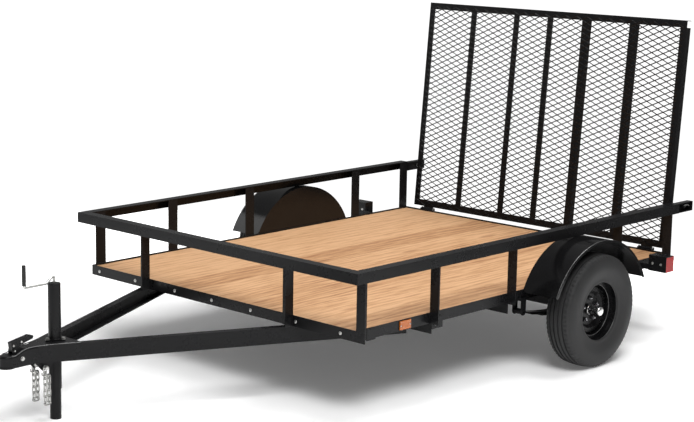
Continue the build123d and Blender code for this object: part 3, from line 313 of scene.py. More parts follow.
@dataclass(frozen=True)
class MetalFinish:
    """Plated or bare metal with a soft, slightly uneven reflection."""

    name: str
    colour: Colour
    rough: float = 0.35
    cloudiness: float = 0.12

    def make(self) -> bpy.types.Material:
        """Builds the material."""
        g = Graph(self.name)
        p = g.place()
        cloud = g.noise(p, 60.0, 4.0, 0.6)
        grit = g.noise(p, 700.0, 2.0)
        dull = tuple(c * 0.72 for c in self.colour)
        colour = g.blend(cloud.between(0.3, 0.75), self.colour, dull)
        return g.surface({"Metallic": 1.0}, {"Base Color": colour,
                                             "Roughness": self.rough + (cloud - 0.5) * self.cloudiness * 2.0,
                                             "Normal": g.bump(grit, 0.00006, 0.4)})


@dataclass(frozen=True)
class LensFinish:
    """Moulded lamp lens: glossy, with fine ribs across its face."""

    name: str
    colour: Colour
    deep: Colour

    def make(self) -> bpy.types.Material:
        """Builds the material."""
        g = Graph(self.name)
        x, y, z = g.axes(g.place())
        rib = ((z * 2200.0).sine() + 1.0) * 0.5
        cell = ((x * 1500.0).sine() + 1.0) * ((y * 1500.0).sine() + 1.0) * 0.25
        colour = g.blend(rib * 0.5 + cell * 0.3, self.colour, self.deep)
        return g.surface({"Roughness": 0.14, "IOR": 1.49, "Coat Weight": 0.4, "Coat Roughness": 0.05},
                         {"Base Color": colour, "Normal": g.bump(rib, 0.0004, 0.5)})


@dataclass(frozen=True)
class MouldedFinish:
    """Matt moulded plastic."""

    name: str
    colour: Colour
    rough: float = 0.5

    def make(self) -> bpy.types.Material:
        """Builds the material."""
        g = Graph(self.name)
        p = g.place()
        cloud = g.noise(p, 45.0, 4.0)
        grain = g.noise(p, 1100.0, 2.0)
        lighter = tuple(min(1.0, c * 1.6 + 0.01) for c in self.colour)
        colour = g.blend(cloud.between(0.4, 0.8) * 0.4, self.colour, lighter)
        return g.surface({"IOR": 1.46}, {"Base Color": colour, "Roughness": self.rough + (cloud - 0.5) * 0.12,
                                         "Normal": g.bump(grain, 0.0001, 0.5)})


class Finish(Enum):
    """The finishes that pieces choose from, each with the record's slot that it belongs to."""

    PAINT = ("black_paint", "black_steel")
    # painted highlight: paler grey paint on rolled edges
    PAINTED_HIGHLIGHT = ("painted_highlight_edge", "black_steel")
    FENDER = ("fender_paint", "black_steel")
    NUTS = ("black_nuts", "black_steel")
    BOARDS = ("pine_boards", "pine_boards")
    RUBBER = ("tyre_rubber", "tyre_rubber")
    WHEEL = ("wheel_paint", "wheel_paint")
    ZINC = ("zinc_plate", "zinc_plate")
    CHAIN = ("chain_plate", "zinc_plate")
    CAP = ("cap_plate", "zinc_plate")
    RED = ("red_lens", "red_lens")
    AMBER = ("amber_lens", "amber_lens")
    GRIP = ("black_grip", "black_grip")

    @property
    def slot(self) -> str:
        """The record's slot."""
        return self.value[1]

    @classmethod
    def of_slot(cls, slot: str) -> "Finish":
        """The first finish of a slot."""
        return next(finish for finish in cls if finish.slot == slot)


class Paintbox:
    """Makes each finish's material once and hands it out."""

    RECIPES = {
        Finish.PAINT: PaintFinish(),
        # painted highlight: its colour and dust greys stand in for light caught by rolled edges
        Finish.PAINTED_HIGHLIGHT: PaintFinish(name="painted_highlight_edge", colour=(0.085, 0.085, 0.085), dust=(0.07, 0.07, 0.07),
                                  sheen=0.24, shine=0.90),
        Finish.FENDER: PaintFinish(name="fender_paint", colour=(0.004, 0.004, 0.0043),
                                   sheen=0.15, shine=0.26),
        Finish.NUTS: MetalFinish(name="black_nuts", colour=(0.26, 0.26, 0.27), rough=0.17),
        Finish.BOARDS: BoardFinish(),
        Finish.RUBBER: RubberFinish(),
        Finish.WHEEL: PaintFinish(name="wheel_paint", colour=(0.006, 0.006, 0.0065), sheen=0.26),
        Finish.ZINC: MetalFinish(name="zinc_plate", colour=(0.62, 0.62, 0.60)),
        Finish.CHAIN: MetalFinish(name="chain_plate", colour=(0.50, 0.50, 0.48), rough=0.30),
        Finish.CAP: MetalFinish(name="cap_plate", colour=(0.86, 0.86, 0.85), rough=0.24),
        Finish.RED: LensFinish(name="red_lens", colour=(0.42, 0.008, 0.008), deep=(0.20, 0.002, 0.002)),
        Finish.AMBER: LensFinish(name="amber_lens", colour=(0.52, 0.13, 0.010), deep=(0.34, 0.065, 0.004)),
        Finish.GRIP: MouldedFinish(name="black_grip", colour=(0.012, 0.012, 0.012)),
    }

    def __init__(self) -> None:
        """Makes every material."""
        self.materials = {finish: recipe.make() for finish, recipe in self.RECIPES.items()}

    def paint(self, piece: bpy.types.Object, finish: Finish) -> None:
        """Gives an object one finish."""
        piece.data.materials.clear()
        piece.data.materials.append(self.materials[finish])

    def paint_node(self, node: str, finish: Finish) -> None:
        """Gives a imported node's slots one finish.

        Args:
            node: the node's name.
            finish: the finish it gets.
        """
        piece = frame["nodes"][node]
        if not piece.material_slots:
            piece.data.materials.append(self.materials[finish])
        for slot in piece.material_slots:
            slot.material = self.materials[finish]


# ------------------------------------------------------------------ studio
@dataclass
class Studio:
    """Camera, pale floor and soft lights."""

    eye: Point = (6.032, FRONT_Y - 5.6205, 2.376)
    yaw: float = 0.8212
    pitch: float = 0.1886
    roll: float = -0.003
    focal_px: float = 1782.7
    middle_px: Tuple[float, float] = (214.25, 213.1)
    image_px: Tuple[int, int] = (694, 422)
    floor_centre: Tuple[float, float] = (-0.5, -0.6)
    floor_r: float = 3.9
    sky_way: Point = (-0.73, 0.68, 0.0)
    sky_range: Tuple[float, float, float, float] = (-0.35, 0.30, 0.14, 0.24)    # lean and strength
    painted_light_reach: Tuple[float, float] = (1.45, 2.7)     # from the origin to where the floor's painted light grows
    floor_painted_light: Tuple[float, float] = (0.10, 0.95)          # the floor's painted light inside and outside that reach; the faint part is painted shade
    painted_light_squash: float = 0.6                          # how little Y counts in that distance
    dome_r: float = 58.0
    dome_rings: Tuple[int, int] = (24, 13)            # points round and from bottom to top
    lamps: Tuple[Tuple[str, Point, Point, float, float], ...] = (    # name, place, aim, width, watts
        ("key", (4.2, -2.6, 6.8), (0.0, -0.2, 0.3), 3.6, 500.0),
        ("side", (-6.0, -3.0, 4.0), (0.0, 0.0, 0.4), 3.0, 60.0),
        ("top", (0.3, 2.2, 6.6), (0.0, 1.2, 0.4), 3.6, 300.0))

    def camera(self) -> None:
        """Places the camera.

        The view turns from -Y towards -X by the yaw, down by the pitch and then
        about its own axis by the roll.
        """
        data = bpy.data.cameras.new("camera")
        camera = placed("camera", data)
        camera.rotation_mode = "XYZ"
        camera.location = self.eye
        camera.rotation_euler = (math.pi / 2 - self.pitch, self.roll, self.yaw)
        width, height = self.image_px
        data.sensor_width = 36.0
        data.lens = self.focal_px / width * data.sensor_width
        data.shift_x = (width / 2 - self.middle_px[0]) / width
        data.shift_y = (self.middle_px[1] - height / 2) / width
        data.clip_end = 200.0
        bpy.context.scene.camera = camera
        bpy.context.scene.view_settings.view_transform = "Standard"

    def lights(self) -> None:
        """A white sky behind the trailer that darkens towards the front, and soft lamps."""
        world = bpy.data.worlds.new("studio")
        world.use_nodes = True
        tree = world.node_tree
        way = tree.nodes.new("ShaderNodeTexCoord")
        lean = tree.nodes.new("ShaderNodeVectorMath")
        lean.operation = "DOT_PRODUCT"
        lean.inputs[1].default_value = self.sky_way
        tree.links.new(way.outputs["Generated"], lean.inputs[0])
        share = tree.nodes.new("ShaderNodeMapRange")
        share.clamp = True
        for name, value in zip(("From Min", "From Max", "To Min", "To Max"), self.sky_range):
            share.inputs[name].default_value = value
        tree.links.new(lean.outputs["Value"], share.inputs["Value"])
        tree.links.new(share.outputs[0], tree.nodes["Background"].inputs["Strength"])
        tree.nodes["Background"].inputs["Color"].default_value = (1.0, 1.0, 1.0, 1.0)
        bpy.context.scene.world = world
        for name, spot, aim, size, power in self.lamps:
            data = bpy.data.lights.new(name, "AREA")
            data.size = size
            data.energy = power
            lamp = placed(name, data)
            lamp.location = spot
            x, y, z = np.array(aim) - np.array(spot)
            lamp.rotation_euler = (math.atan2(math.hypot(x, y), -z), 0.0, math.atan2(y, x) - math.pi / 2)

    def floor(self) -> None:
        """A pale round floor with painted light: its emission is faint near the trailer, as painted shade,
        and bright further out.
        """
        data = bpy.data.meshes.new("floor")
        turn = np.linspace(0.0, 2.0 * math.pi, 96, endpoint=False)
        x0, y0 = self.floor_centre
        rim = [(x0 + self.floor_r * math.cos(t), y0 + self.floor_r * math.sin(t), 0.0) for t in turn]
        data.from_pydata(rim, [], [tuple(range(len(rim)))])
        floor = placed("floor", data)
        g = Graph("floor")
        x, y, _ = g.axes(g.place())
        away = (x * x + y * y * self.painted_light_squash) ** 0.5
        near, far = ((grey, grey, grey) for grey in self.floor_painted_light)
        # painted light on the floor, faint near the trailer as painted shade
        floor_painted_light = g.blend(away.between(*self.painted_light_reach), near, far)
        data.materials.append(g.surface({"Roughness": 0.8, "Base Color": (0.97, 0.97, 0.97, 1.0),
                                         "Emission Strength": 1.0, "Specular IOR Level": 0.1},
                                        {"Emission Color": floor_painted_light}))

    def dome(self) -> None:
        """A white backdrop all round that only the camera sees."""
        turns, rises = self.dome_rings
        turn = np.linspace(0.0, 2.0 * math.pi, turns, endpoint=False)
        rise = np.linspace(-math.pi / 2, math.pi / 2, rises)
        grid = np.stack([self.dome_r * np.stack((np.cos(up) * np.cos(turn), np.cos(up) * np.sin(turn),
                                                 np.full(turns, math.sin(up))), axis=1) for up in rise])
        points, faces = Skin.netted(grid, False, False)
        data = bpy.data.meshes.new("backdrop")
        data.from_pydata(points.tolist(), [], [tuple(face) for face in faces.tolist()])
        dome = placed("backdrop", data)
        dome.visible_glossy = dome.visible_diffuse = dome.visible_shadow = dome.visible_transmission = False
        g = Graph("backdrop")
        data.materials.append(g.surface({"Base Color": (0.0, 0.0, 0.0, 1.0), "Specular IOR Level": 0.0,
                                         "Emission Color": (1.0, 1.0, 1.0, 1.0),
                                         "Emission Strength": 1.1}, {}))


# ------------------------------------------------------------------ surfaces
def chaikin(points: np.ndarray, rounds: int, closed: bool = False) -> np.ndarray:
    """Cuts the corners of a line of points, each time at a quarter and three quarters.

    Args:
        points: the line's points, one a row.
        rounds: how many times its corners are cut.
        closed: whether its end joins its start.

    Returns:
        The smoother line; an open one keeps its ends.
    """
    line = np.asarray(points, dtype=float)
    for _ in range(rounds):
        first = line if closed else line[:-1]
        second = np.roll(line, -1, axis=0) if closed else line[1:]
        cut = np.stack((first * 0.75 + second * 0.25, first * 0.25 + second * 0.75), axis=1)
        cut = cut.reshape(-1, line.shape[1])
        line = cut if closed else np.vstack((line[:1], cut, line[-1:]))
    return line


def lathed(profile: np.ndarray, segments: int) -> np.ndarray:
    """A profile of (distance along the axis, radius) turned about X.

    Point (u, v) is (a_u, r_u cos t_v, r_u sin t_v), with t_v going once round.

    Args:
        profile: the profile's points, one a row.
        segments: how many points go round.

    Returns:
        A grid of points, closed along its second direction.
    """
    turn = np.linspace(0.0, 2.0 * math.pi, segments, endpoint=False)
    along, radius = profile[:, 0:1], profile[:, 1:2]
    return np.stack((along + 0.0 * turn, radius * np.cos(turn), radius * np.sin(turn)), axis=2)


def rounded(corners: Sequence[Tuple[float, float]], segments: int, rounds: int = 2) -> np.ndarray:
    """A profile of (distance along the axis, radius) turned about X after its corners are cut."""
    return lathed(chaikin(np.array(corners), rounds), segments)


def carried(path: np.ndarray, radius: Union[float, np.ndarray], side: Point, sections: int = 10,
            closed: bool = False) -> np.ndarray:
    """A ring carried along a path.

    Point (u, v) is path_u + radius_u (side_u cos t_v + across_u sin t_v), where side_u is
    the given direction made square to the path and across_u is square to both.

    Args:
        path: the path's points, one a row.
        radius: the ring's radius, or one for each point.
        side: a direction that the path never follows.
        sections: how many points go round the ring.
        closed: whether the path's end joins its start.

    Returns:
        A grid of points, closed along its second direction.
    """
    if closed:
        along = np.roll(path, -1, axis=0) - np.roll(path, 1, axis=0)
    else:
        along = np.gradient(path, axis=0)
    along = along / np.linalg.norm(along, axis=1, keepdims=True)
    side_u = np.asarray(side, dtype=float)[None, :] - along * (along @ np.asarray(side, dtype=float))[:, None]
    side_u = side_u / np.linalg.norm(side_u, axis=1, keepdims=True)
    across_u = np.cross(along, side_u)
    turn = np.linspace(0.0, 2.0 * math.pi, sections, endpoint=False)
    ring = (side_u[:, None, :] * np.cos(turn)[None, :, None]
            + across_u[:, None, :] * np.sin(turn)[None, :, None])
    return path[:, None, :] + np.reshape(radius, (-1, 1, 1)) * ring


def arc(centre: Point, radius: float, first: float, last: float, count: int) -> np.ndarray:
    """Points (x, y + r cos t, z + r sin t) with t from first to last degrees.

    Args:
        centre: the arc's centre.
        radius: its radius.
        first: its first angle.
        last: its last angle.
        count: how many points it has.

    Returns:
        The points, one a row.
    """
    turn = np.radians(np.linspace(first, last, count))
    x, y, z = centre
    return np.stack((x + 0.0 * turn, y + radius * np.cos(turn), z + radius * np.sin(turn)), axis=1)


def turned(way: str, sign: float = 1.0) -> np.ndarray:
    """The turn that brings +X to an axis: "x", "y" or "z", with a sign.

    Args:
        way: the axis.
        sign: -1 for the axis's other end.

    Returns:
        A matrix whose rows multiply points from the right.
    """
    tables = {"x": ((1, 0, 0), (0, 1, 0), (0, 0, 1)),
              "y": ((0, 1, 0), (-1, 0, 0), (0, 0, 1)),
              "z": ((0, 0, 1), (0, 1, 0), (-1, 0, 0))}
    table = np.array(tables[way], dtype=float)
    return table if sign > 0 else table @ np.diag([-1.0, -1.0, 1.0] if way != "z" else [-1.0, 1.0, -1.0])


class Skin:
    """The points and faces of one piece, gathered as arrays."""

    def __init__(self) -> None:
        """Starts empty."""
        self.points: List[np.ndarray] = []
        self.faces: List[np.ndarray] = []
        self.count = 0

    def add(self, points: np.ndarray, faces: np.ndarray) -> None:
        """Adds points, one a row, and four-cornered faces that number them from 0."""
        self.points.append(points)
        self.faces.append(faces + self.count)
        self.count += len(points)

    @staticmethod
    def netted(grid: np.ndarray, close_u: bool, caps: bool) -> Tuple[np.ndarray, np.ndarray]:
        """Quads over a grid whose second direction is closed, with a middle point on each end.

        Args:
            grid: the grid's points.
            close_u: whether the first direction is closed too.
            caps: whether the ends are closed.

        Returns:
            The points and the faces; a cap's faces are quads with a corner repeated.
        """
        rows, columns = grid.shape[:2]
        number = np.arange(rows * columns).reshape(rows, columns)
        ahead = np.roll(number, -1, axis=1)
        last = rows if close_u else rows - 1
        below = np.roll(number, -1, axis=0)[:last]
        below_ahead = np.roll(ahead, -1, axis=0)[:last]
        faces = np.stack((number[:last], ahead[:last], below_ahead, below), axis=2).reshape(-1, 4)
        points = grid.reshape(-1, 3)
        if caps:
            middles = np.stack((grid[0].mean(axis=0), grid[-1].mean(axis=0)))
            first, final = rows * columns, rows * columns + 1
            low = np.stack((number[0], np.full(columns, first), np.full(columns, first), ahead[0]), axis=1)
            high = np.stack((number[-1], ahead[-1], np.full(columns, final), np.full(columns, final)), axis=1)
            points = np.vstack((points, middles))
            faces = np.vstack((faces, low, high))
        return points, faces

    def net(self, grid: np.ndarray, close_u: bool = False, caps: bool = True) -> None:
        """Adds a grid whose second direction is closed, and whose first may be; caps close its ends."""
        self.add(*self.netted(grid, close_u, caps and not close_u))

    def copies(self, grid: np.ndarray, turn: np.ndarray, places: np.ndarray, caps: bool = True) -> None:
        """Adds a grid once at each place, turned the same way.

        Args:
            grid: the grid's points.
            turn: the matrix that turns them.
            places: where the copies go, one a row.
            caps: whether their ends are closed.
        """
        points, faces = self.netted(grid, False, caps)
        placed = (points @ turn)[None, :, :] + np.asarray(places, dtype=float)[:, None, :]
        shift = np.arange(len(placed))[:, None, None] * len(points)
        self.add(placed.reshape(-1, 3), (faces[None, :, :] + shift).reshape(-1, 4))

    def piece(self, name: str, body: str, finish: "Finish", paintbox: "Paintbox", smooth: float = 35.0,
              replaces: Sequence[str] = ()) -> None:
        """Makes the object, rides it on its body and paints it.

        Args:
            name: the object's name.
            body: the body that it moves with.
            finish: its finish.
            paintbox: where its material comes from.
            smooth: the sharpest angle in degrees that is shaded smooth.
            replaces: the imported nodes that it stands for.
        """
        mesh = bmesh.new()
        data = bpy.data.meshes.new(name)
        faces = [tuple(dict.fromkeys(face)) for face in np.vstack(self.faces).tolist()]
        data.from_pydata(np.vstack(self.points).tolist(), [], faces)
        mesh.from_mesh(data)
        bmesh.ops.remove_doubles(mesh, verts=mesh.verts, dist=1e-6)
        bmesh.ops.recalc_face_normals(mesh, faces=mesh.faces)
        for edge in mesh.edges:
            edge.smooth = len(edge.link_faces) == 2 and edge.calc_face_angle(0.0) < math.radians(smooth)
        for face in mesh.faces:
            face.smooth = True
        mesh.to_mesh(data)
        mesh.free()
        made = placed(name, data)
        paintbox.paint(made, finish)
        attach(made, body)
        if replaces:
            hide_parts(*replaces)
        LOG.info("built %s: %d faces", name, len(data.polygons))


def hex_head(size: float, height: float, washer: float = 0.0) -> List[np.ndarray]:
    """A six-sided bolt head along +X with its corners cut, on a round washer.

    Args:
        size: from the axis to a corner.
        height: how far it stands up.
        washer: the washer's radius, or 0 for none.

    Returns:
        A grid for the head and one for the washer.
    """
    head = np.array([[0.0, size], [height * 0.82, size], [height, size * 0.86], [height, size * 0.3]])
    lift = 0.0016 if washer else 0.0
    grids = [lathed(head + (lift, 0.0), 6)]
    if washer:
        grids.append(lathed(np.array([[0.0, washer], [0.0012, washer], [0.0016, washer * 0.95]]), 20))
    return grids


def rippled(start: Point, end: Point, width: float = 0.0028) -> np.ndarray:
    """A weld bead: a rod whose radius swells and shrinks every few millimetres.

    The radius at distance s along it is w (0.85 + 0.15 |cos(pi s / 3.2 mm)|).

    Args:
        start: one end.
        end: the other end.
        width: the greatest radius w.

    Returns:
        The bead's grid.
    """
    first, last = np.array(start, dtype=float), np.array(end, dtype=float)
    length = float(np.linalg.norm(last - first))
    count = max(4, int(length / 0.0016))
    share = np.linspace(0.0, 1.0, count)
    radius = width * (0.85 + 0.15 * np.abs(np.cos(math.pi * share * length / 0.0032)))
    radius[0] = radius[-1] = width * 0.4
    path = first + (last - first) * share[:, None]
    along = np.abs(last - first)
    return carried(path, radius, UP if along[2] < max(along[0], along[1]) else ALONG_X, 6)


# ------------------------------------------------------------------ ramp gate
@dataclass
class Gate:
    """Expanded metal and the small parts of the ramp gate."""

    hinge: Point = (0.0, FRONT_Y + 2.458, 0.405)
    lean: float = math.radians(5.1)
    half_width: float = 0.870
    bottom: float = 0.018
    top: float = 1.220
    long_way: float = 0.0712
    short_way: float = 0.0325
    strand: float = 0.0058
    thick: float = 0.0017
    tilt: float = math.radians(28.0)
    face: float = 0.0006
    hinge_x: float = 0.762
    barrel_half: float = 0.035
    washer: Tuple[float, float, float] = (0.0065, 0.0115, 0.0016)    # hole, rim, thickness
    washer_gap: float = 0.0085
    split_wire: float = 0.0011
    latch_x: Tuple[float, float] = (0.9110, 0.8850)
    latch_y: float = FRONT_Y + 2.5238
    latch_z: float = 0.646
    coil_r: float = 0.0088
    coil_wire: float = 0.0012
    coil_turns: float = 6.5
    pull_x: float = 0.932
    pull_wire: float = 0.0035

    def place(self, points: np.ndarray) -> np.ndarray:
        """From the upright gate with its pin at the origin to its leaning pose."""
        c, s = math.cos(self.lean), math.sin(self.lean)
        x, y, z = points[..., 0], points[..., 1], points[..., 2]
        moved = np.stack((x, y * c + z * s, z * c - y * s), axis=-1)
        return moved + np.array(self.hinge)

    def mesh(self, paintbox: Paintbox) -> None:
        """Diamonds of slit and stretched sheet.

        Knots lie at (i L/2, j S/2) where i + j is even, and a tilted flat strand
        joins each knot to the two at i + 1: corner (a, b) of its section lies at
        a w/2 (l cos t + n sin t) + b h/2 (n cos t - l sin t), where l lies in
        the sheet square to the strand and n is the sheet's normal.
        """
        half_l, half_s = self.long_way / 2, self.short_way / 2
        columns = int(2 * self.half_width / half_l)
        rows = int((self.top - self.bottom) / half_s)
        i, j = np.meshgrid(np.arange(columns), np.arange(rows + 1), indexing="ij")
        keep = (i + j) % 2 == 0
        left_x = -self.half_width + (2 * self.half_width - columns * half_l) / 2
        skin = Skin()
        for step in (1, -1):
            good = keep & (j + step >= 0) & (j + step <= rows)
            start = np.stack((left_x + i[good] * half_l, np.full(good.sum(), self.face),
                              self.bottom + j[good] * half_s), axis=1)
            way = np.array([half_l, 0.0, step * half_s])
            unit = way / np.linalg.norm(way)
            normal = np.array([0.0, -1.0, 0.0])
            across = np.cross(normal, unit)
            flat = across * math.cos(self.tilt) + normal * math.sin(self.tilt)
            deep = normal * math.cos(self.tilt) - across * math.sin(self.tilt)
            ring = np.stack([a * self.strand / 2 * flat + b * self.thick / 2 * deep
                             for a, b in ((-1, -1), (1, -1), (1, 1), (-1, 1))])
            overlap = unit * self.strand * 0.35
            grid = np.stack((ring - overlap, ring + way + overlap))
            number = np.arange(8).reshape(2, 4)
            ahead = np.roll(number, -1, axis=1)
            sides = np.stack((number[0], ahead[0], ahead[1], number[1]), axis=1)
            faces = np.vstack((sides, number[0][None, ::-1], number[1][None, :]))
            points = grid.reshape(-1, 3)[None, :, :] + start[:, None, :]
            shift = np.arange(len(points))[:, None, None] * 8
            skin.add(self.place(points.reshape(-1, 3)), (faces[None] + shift).reshape(-1, 4))
        skin.piece("gate_expanded_metal", "gate", Finish.PAINT, paintbox, 20.0, ("gate_mesh",))

    def hinges(self, paintbox: Paintbox) -> None:
        """A washer and a bent split pin at each end of both hinge pins."""
        hole, rim, thick = self.washer
        ring = lathed(np.array([[0.0, hole], [0.0, rim], [thick, rim], [thick, hole]]), 24)
        x, y, z = self.hinge
        skin = Skin()
        for side in SIDES:
            for end in (1, -1):
                at = side * self.hinge_x + end * (self.barrel_half + self.washer_gap)
                skin.copies(ring, turned("x", end), np.array([[at, y, z]]), caps=False)
                pin = at + end * 0.0028
                path = np.array([[pin, y, z + 0.010], [pin, y, z - 0.011],
                                 [pin + end * 0.001, y + 0.004, z - 0.014]])
                skin.net(carried(chaikin(path, 2), self.split_wire, ALONG_X, 6))
        skin.piece("hinge_split_pins", "trailer", Finish.ZINC, paintbox)

    def latches(self, paintbox: Paintbox) -> None:
        """A coil spring on each latch bolt and its bent pull inside the channel."""
        springs, pulls = Skin(), Skin()
        turn = np.linspace(0.0, 2.0 * math.pi * self.coil_turns, 130)
        first, last = self.latch_x
        y, z = self.latch_y, self.latch_z
        for side in SIDES:
            along = side * np.linspace(first, last, len(turn))
            coil = np.stack((along, y + self.coil_r * np.cos(turn), z + self.coil_r * np.sin(turn)), axis=1)
            springs.net(carried(coil, self.coil_wire, ALONG_X, 6))
            x = side * self.pull_x
            bent = np.array([[x, y, z], [x + side * 0.006, y + 0.002, z + 0.008],
                             [x + side * 0.008, y + 0.030, z + 0.010],
                             [x + side * 0.008, y + 0.046, z + 0.002]])
            pulls.net(carried(chaikin(bent, 3), self.pull_wire, (1.0, 0.0, 0.2), 8))
        springs.piece("latch_springs", "trailer", Finish.ZINC, paintbox)
        pulls.piece("latch_pulls", "trailer", Finish.ZINC, paintbox)


# ------------------------------------------------------------------ wheels
@dataclass
class Wheel:
    """Tyre, rim rings, nuts, cap and valve of one wheel."""

    name: str
    side: float
    centre_x: float = 1.0745
    axle_z: float = 0.281
    tread_half: float = 0.059
    tyre_r: float = 0.281
    grooves: Tuple[float, ...] = (-0.036, -0.0125, 0.0125, 0.036)
    groove_half: float = 0.0032
    groove_deep: float = 0.0065
    groove_edge: float = 0.0010                            # width of a groove's sloping edge
    crown_fall: float = 0.0055                             # how much lower the tread's edges lie
    shoulder: Tuple[float, float] = (0.044, 0.262)         # notches lie past this x and radius
    notch_deep: float = 0.0035
    segments: int = 216
    face_x: float = 1.0655
    bolt_circle: float = 0.05715
    nut_count: int = 5
    rim_rings: Tuple[Tuple[float, float], ...] = ((0.0500, 0.1482), (0.0192, 0.1262))    # x, radius
    ring_wire: float = 0.0016

    def place(self, grid: np.ndarray) -> np.ndarray:
        """From the wheel's own frame, outboard along +X, to its place on the axle."""
        return grid * np.array([self.side, 1.0, 1.0]) + np.array([0.0, AXLE_Y, self.axle_z])

    def end(self, skin: Skin, part: str, finish: Finish, paintbox: Paintbox, smooth: float,
            node: str = "") -> None:
        """Ends one of the wheel's pieces, which takes the wheel's side into its name.

        Args:
            skin: the piece's points and faces.
            part: its name without the side.
            finish: its finish.
            paintbox: where its material comes from.
            smooth: the sharpest angle in degrees that is shaded smooth.
            node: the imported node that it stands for, without the side.
        """
        stands_for = ("%s_%s" % (node, self.name),) if node else ()
        skin.piece("%s_%s" % (part, self.name), "wheel_%s_body" % self.name, finish, paintbox, smooth,
                   stands_for)

    def tyre(self, paintbox: Paintbox) -> None:
        """The tyre: a rounded profile turned about the axle, with grooves cut in the tread.

        The radius across the tread falls by the square of the distance from its
        middle, and by a smooth step into each groove; small notches cross its
        shoulders three segments apart.
        """
        wall = chaikin(np.array([[0.0560, 0.1430], [0.0590, 0.1435], [0.0615, 0.1500], [0.0620, 0.1620],
                                 [0.0690, 0.1850], [0.0748, 0.2080], [0.0748, 0.2330], [0.0700, 0.2560],
                                 [0.0635, 0.2690], [self.tread_half, 0.2735]]), 3)
        across = np.linspace(self.tread_half - 0.0015, -self.tread_half + 0.0015, 91)
        crown = self.tyre_r - self.crown_fall * (across / self.tread_half) ** 2
        for middle in self.grooves:
            near = np.clip((np.abs(across - middle) - self.groove_half) / self.groove_edge, 0.0, 1.0)
            crown = crown - self.groove_deep * (1.0 - near * near * (3.0 - 2.0 * near))
        tread = np.stack((across, crown), axis=1)
        inside = np.array([[-0.0480, 0.1535], [-0.0350, 0.1535], [-0.0400, 0.2000], [-0.0400, 0.2500],
                           [0.0400, 0.2500], [0.0400, 0.2000], [0.0350, 0.1535], [0.0480, 0.1535]])
        profile = np.vstack((wall, tread, wall[::-1] * (-1.0, 1.0), inside))
        grid = lathed(profile, self.segments)
        notch = (np.arange(self.segments) % 3 == 0)[None, :]
        shoulder = ((np.abs(profile[:, 0]) > self.shoulder[0]) & (profile[:, 1] > self.shoulder[1]))[:, None]
        shrink = 1.0 - self.notch_deep / self.tyre_r * (notch & shoulder)
        grid = grid * np.stack((np.ones_like(shrink), shrink, shrink), axis=2)
        skin = Skin()
        skin.net(self.place(grid + (self.centre_x, 0.0, 0.0)), close_u=True)
        self.end(skin, "tyre_rubber", Finish.RUBBER, paintbox, 40.0, "tyre")

    def rings(self, paintbox: Paintbox) -> None:
        """Rolled edges inside the rim, at its lip and at its well, painted paler grey as painted highlights.
        """
        skin = Skin()
        for out, radius in self.rim_rings:
            line = arc((self.centre_x + out, 0.0, 0.0), radius, 0.0, 360.0, 97)[:-1]
            skin.net(self.place(carried(line, self.ring_wire, ALONG_X, 8, closed=True)), close_u=True)
        self.end(skin, "rim_rings", Finish.PAINTED_HIGHLIGHT, paintbox, 60.0)

    def nuts(self, paintbox: Paintbox) -> None:
        """Acorn nuts: six flats on a coned seat, under a small dome."""
        cone = lathed(np.array([[0.0, 0.0118], [0.0030, 0.0108]]), 24)
        flats = lathed(np.array([[0.0024, 0.0112], [0.0110, 0.0112], [0.0122, 0.0098]]), 6)
        turn = np.radians(np.linspace(0.0, 88.0, 8))
        dome = lathed(np.stack((0.0116 + 0.0085 * np.sin(turn), 0.0090 * np.cos(turn) ** 0.8), axis=1), 20)
        angle = math.pi / 2 + np.arange(self.nut_count) * 2.0 * math.pi / self.nut_count
        places = np.stack((np.full(self.nut_count, self.face_x), self.bolt_circle * np.cos(angle),
                           self.bolt_circle * np.sin(angle)), axis=1)
        skin = Skin()
        for grid in (cone, flats, dome):
            skin.copies(grid, turned("x"), places)
        skin.points = [self.place(part) for part in skin.points]
        self.end(skin, "wheel_nuts", Finish.NUTS, paintbox, 30.0, "lug_nuts")

    def cap(self, paintbox: Paintbox) -> None:
        """Pressed dust cap with a rolled bead at its foot and a shallow dome."""
        grid = rounded(((0.0060, 0.0250), (0.0070, 0.0272), (0.0120, 0.0272), (0.0130, 0.0245),
                        (0.0600, 0.0240), (0.0710, 0.0228), (0.0750, 0.0170), (0.0760, 0.0)), 40)
        skin = Skin()
        skin.net(self.place(grid + (self.face_x, 0.0, 0.0)))
        self.end(skin, "dust_cap", Finish.CAP, paintbox, 50.0, "hub_cap")

    def valve(self, paintbox: Paintbox) -> None:
        """A rubber valve stem with a small cap, through the wheel's rim."""
        line = chaikin(np.array([[1.0835, 0.0, 0.1210, 0.0065], [1.0895, 0.0, 0.1220, 0.0050],
                                 [1.1015, 0.0, 0.1260, 0.0036], [1.1085, 0.0, 0.1285, 0.0040]]), 2)
        skin = Skin()
        skin.net(self.place(carried(line[:, :3], line[:, 3], (0.0, 1.0, 0.0), 14)))
        self.end(skin, "valve", Finish.RUBBER, paintbox, 50.0)


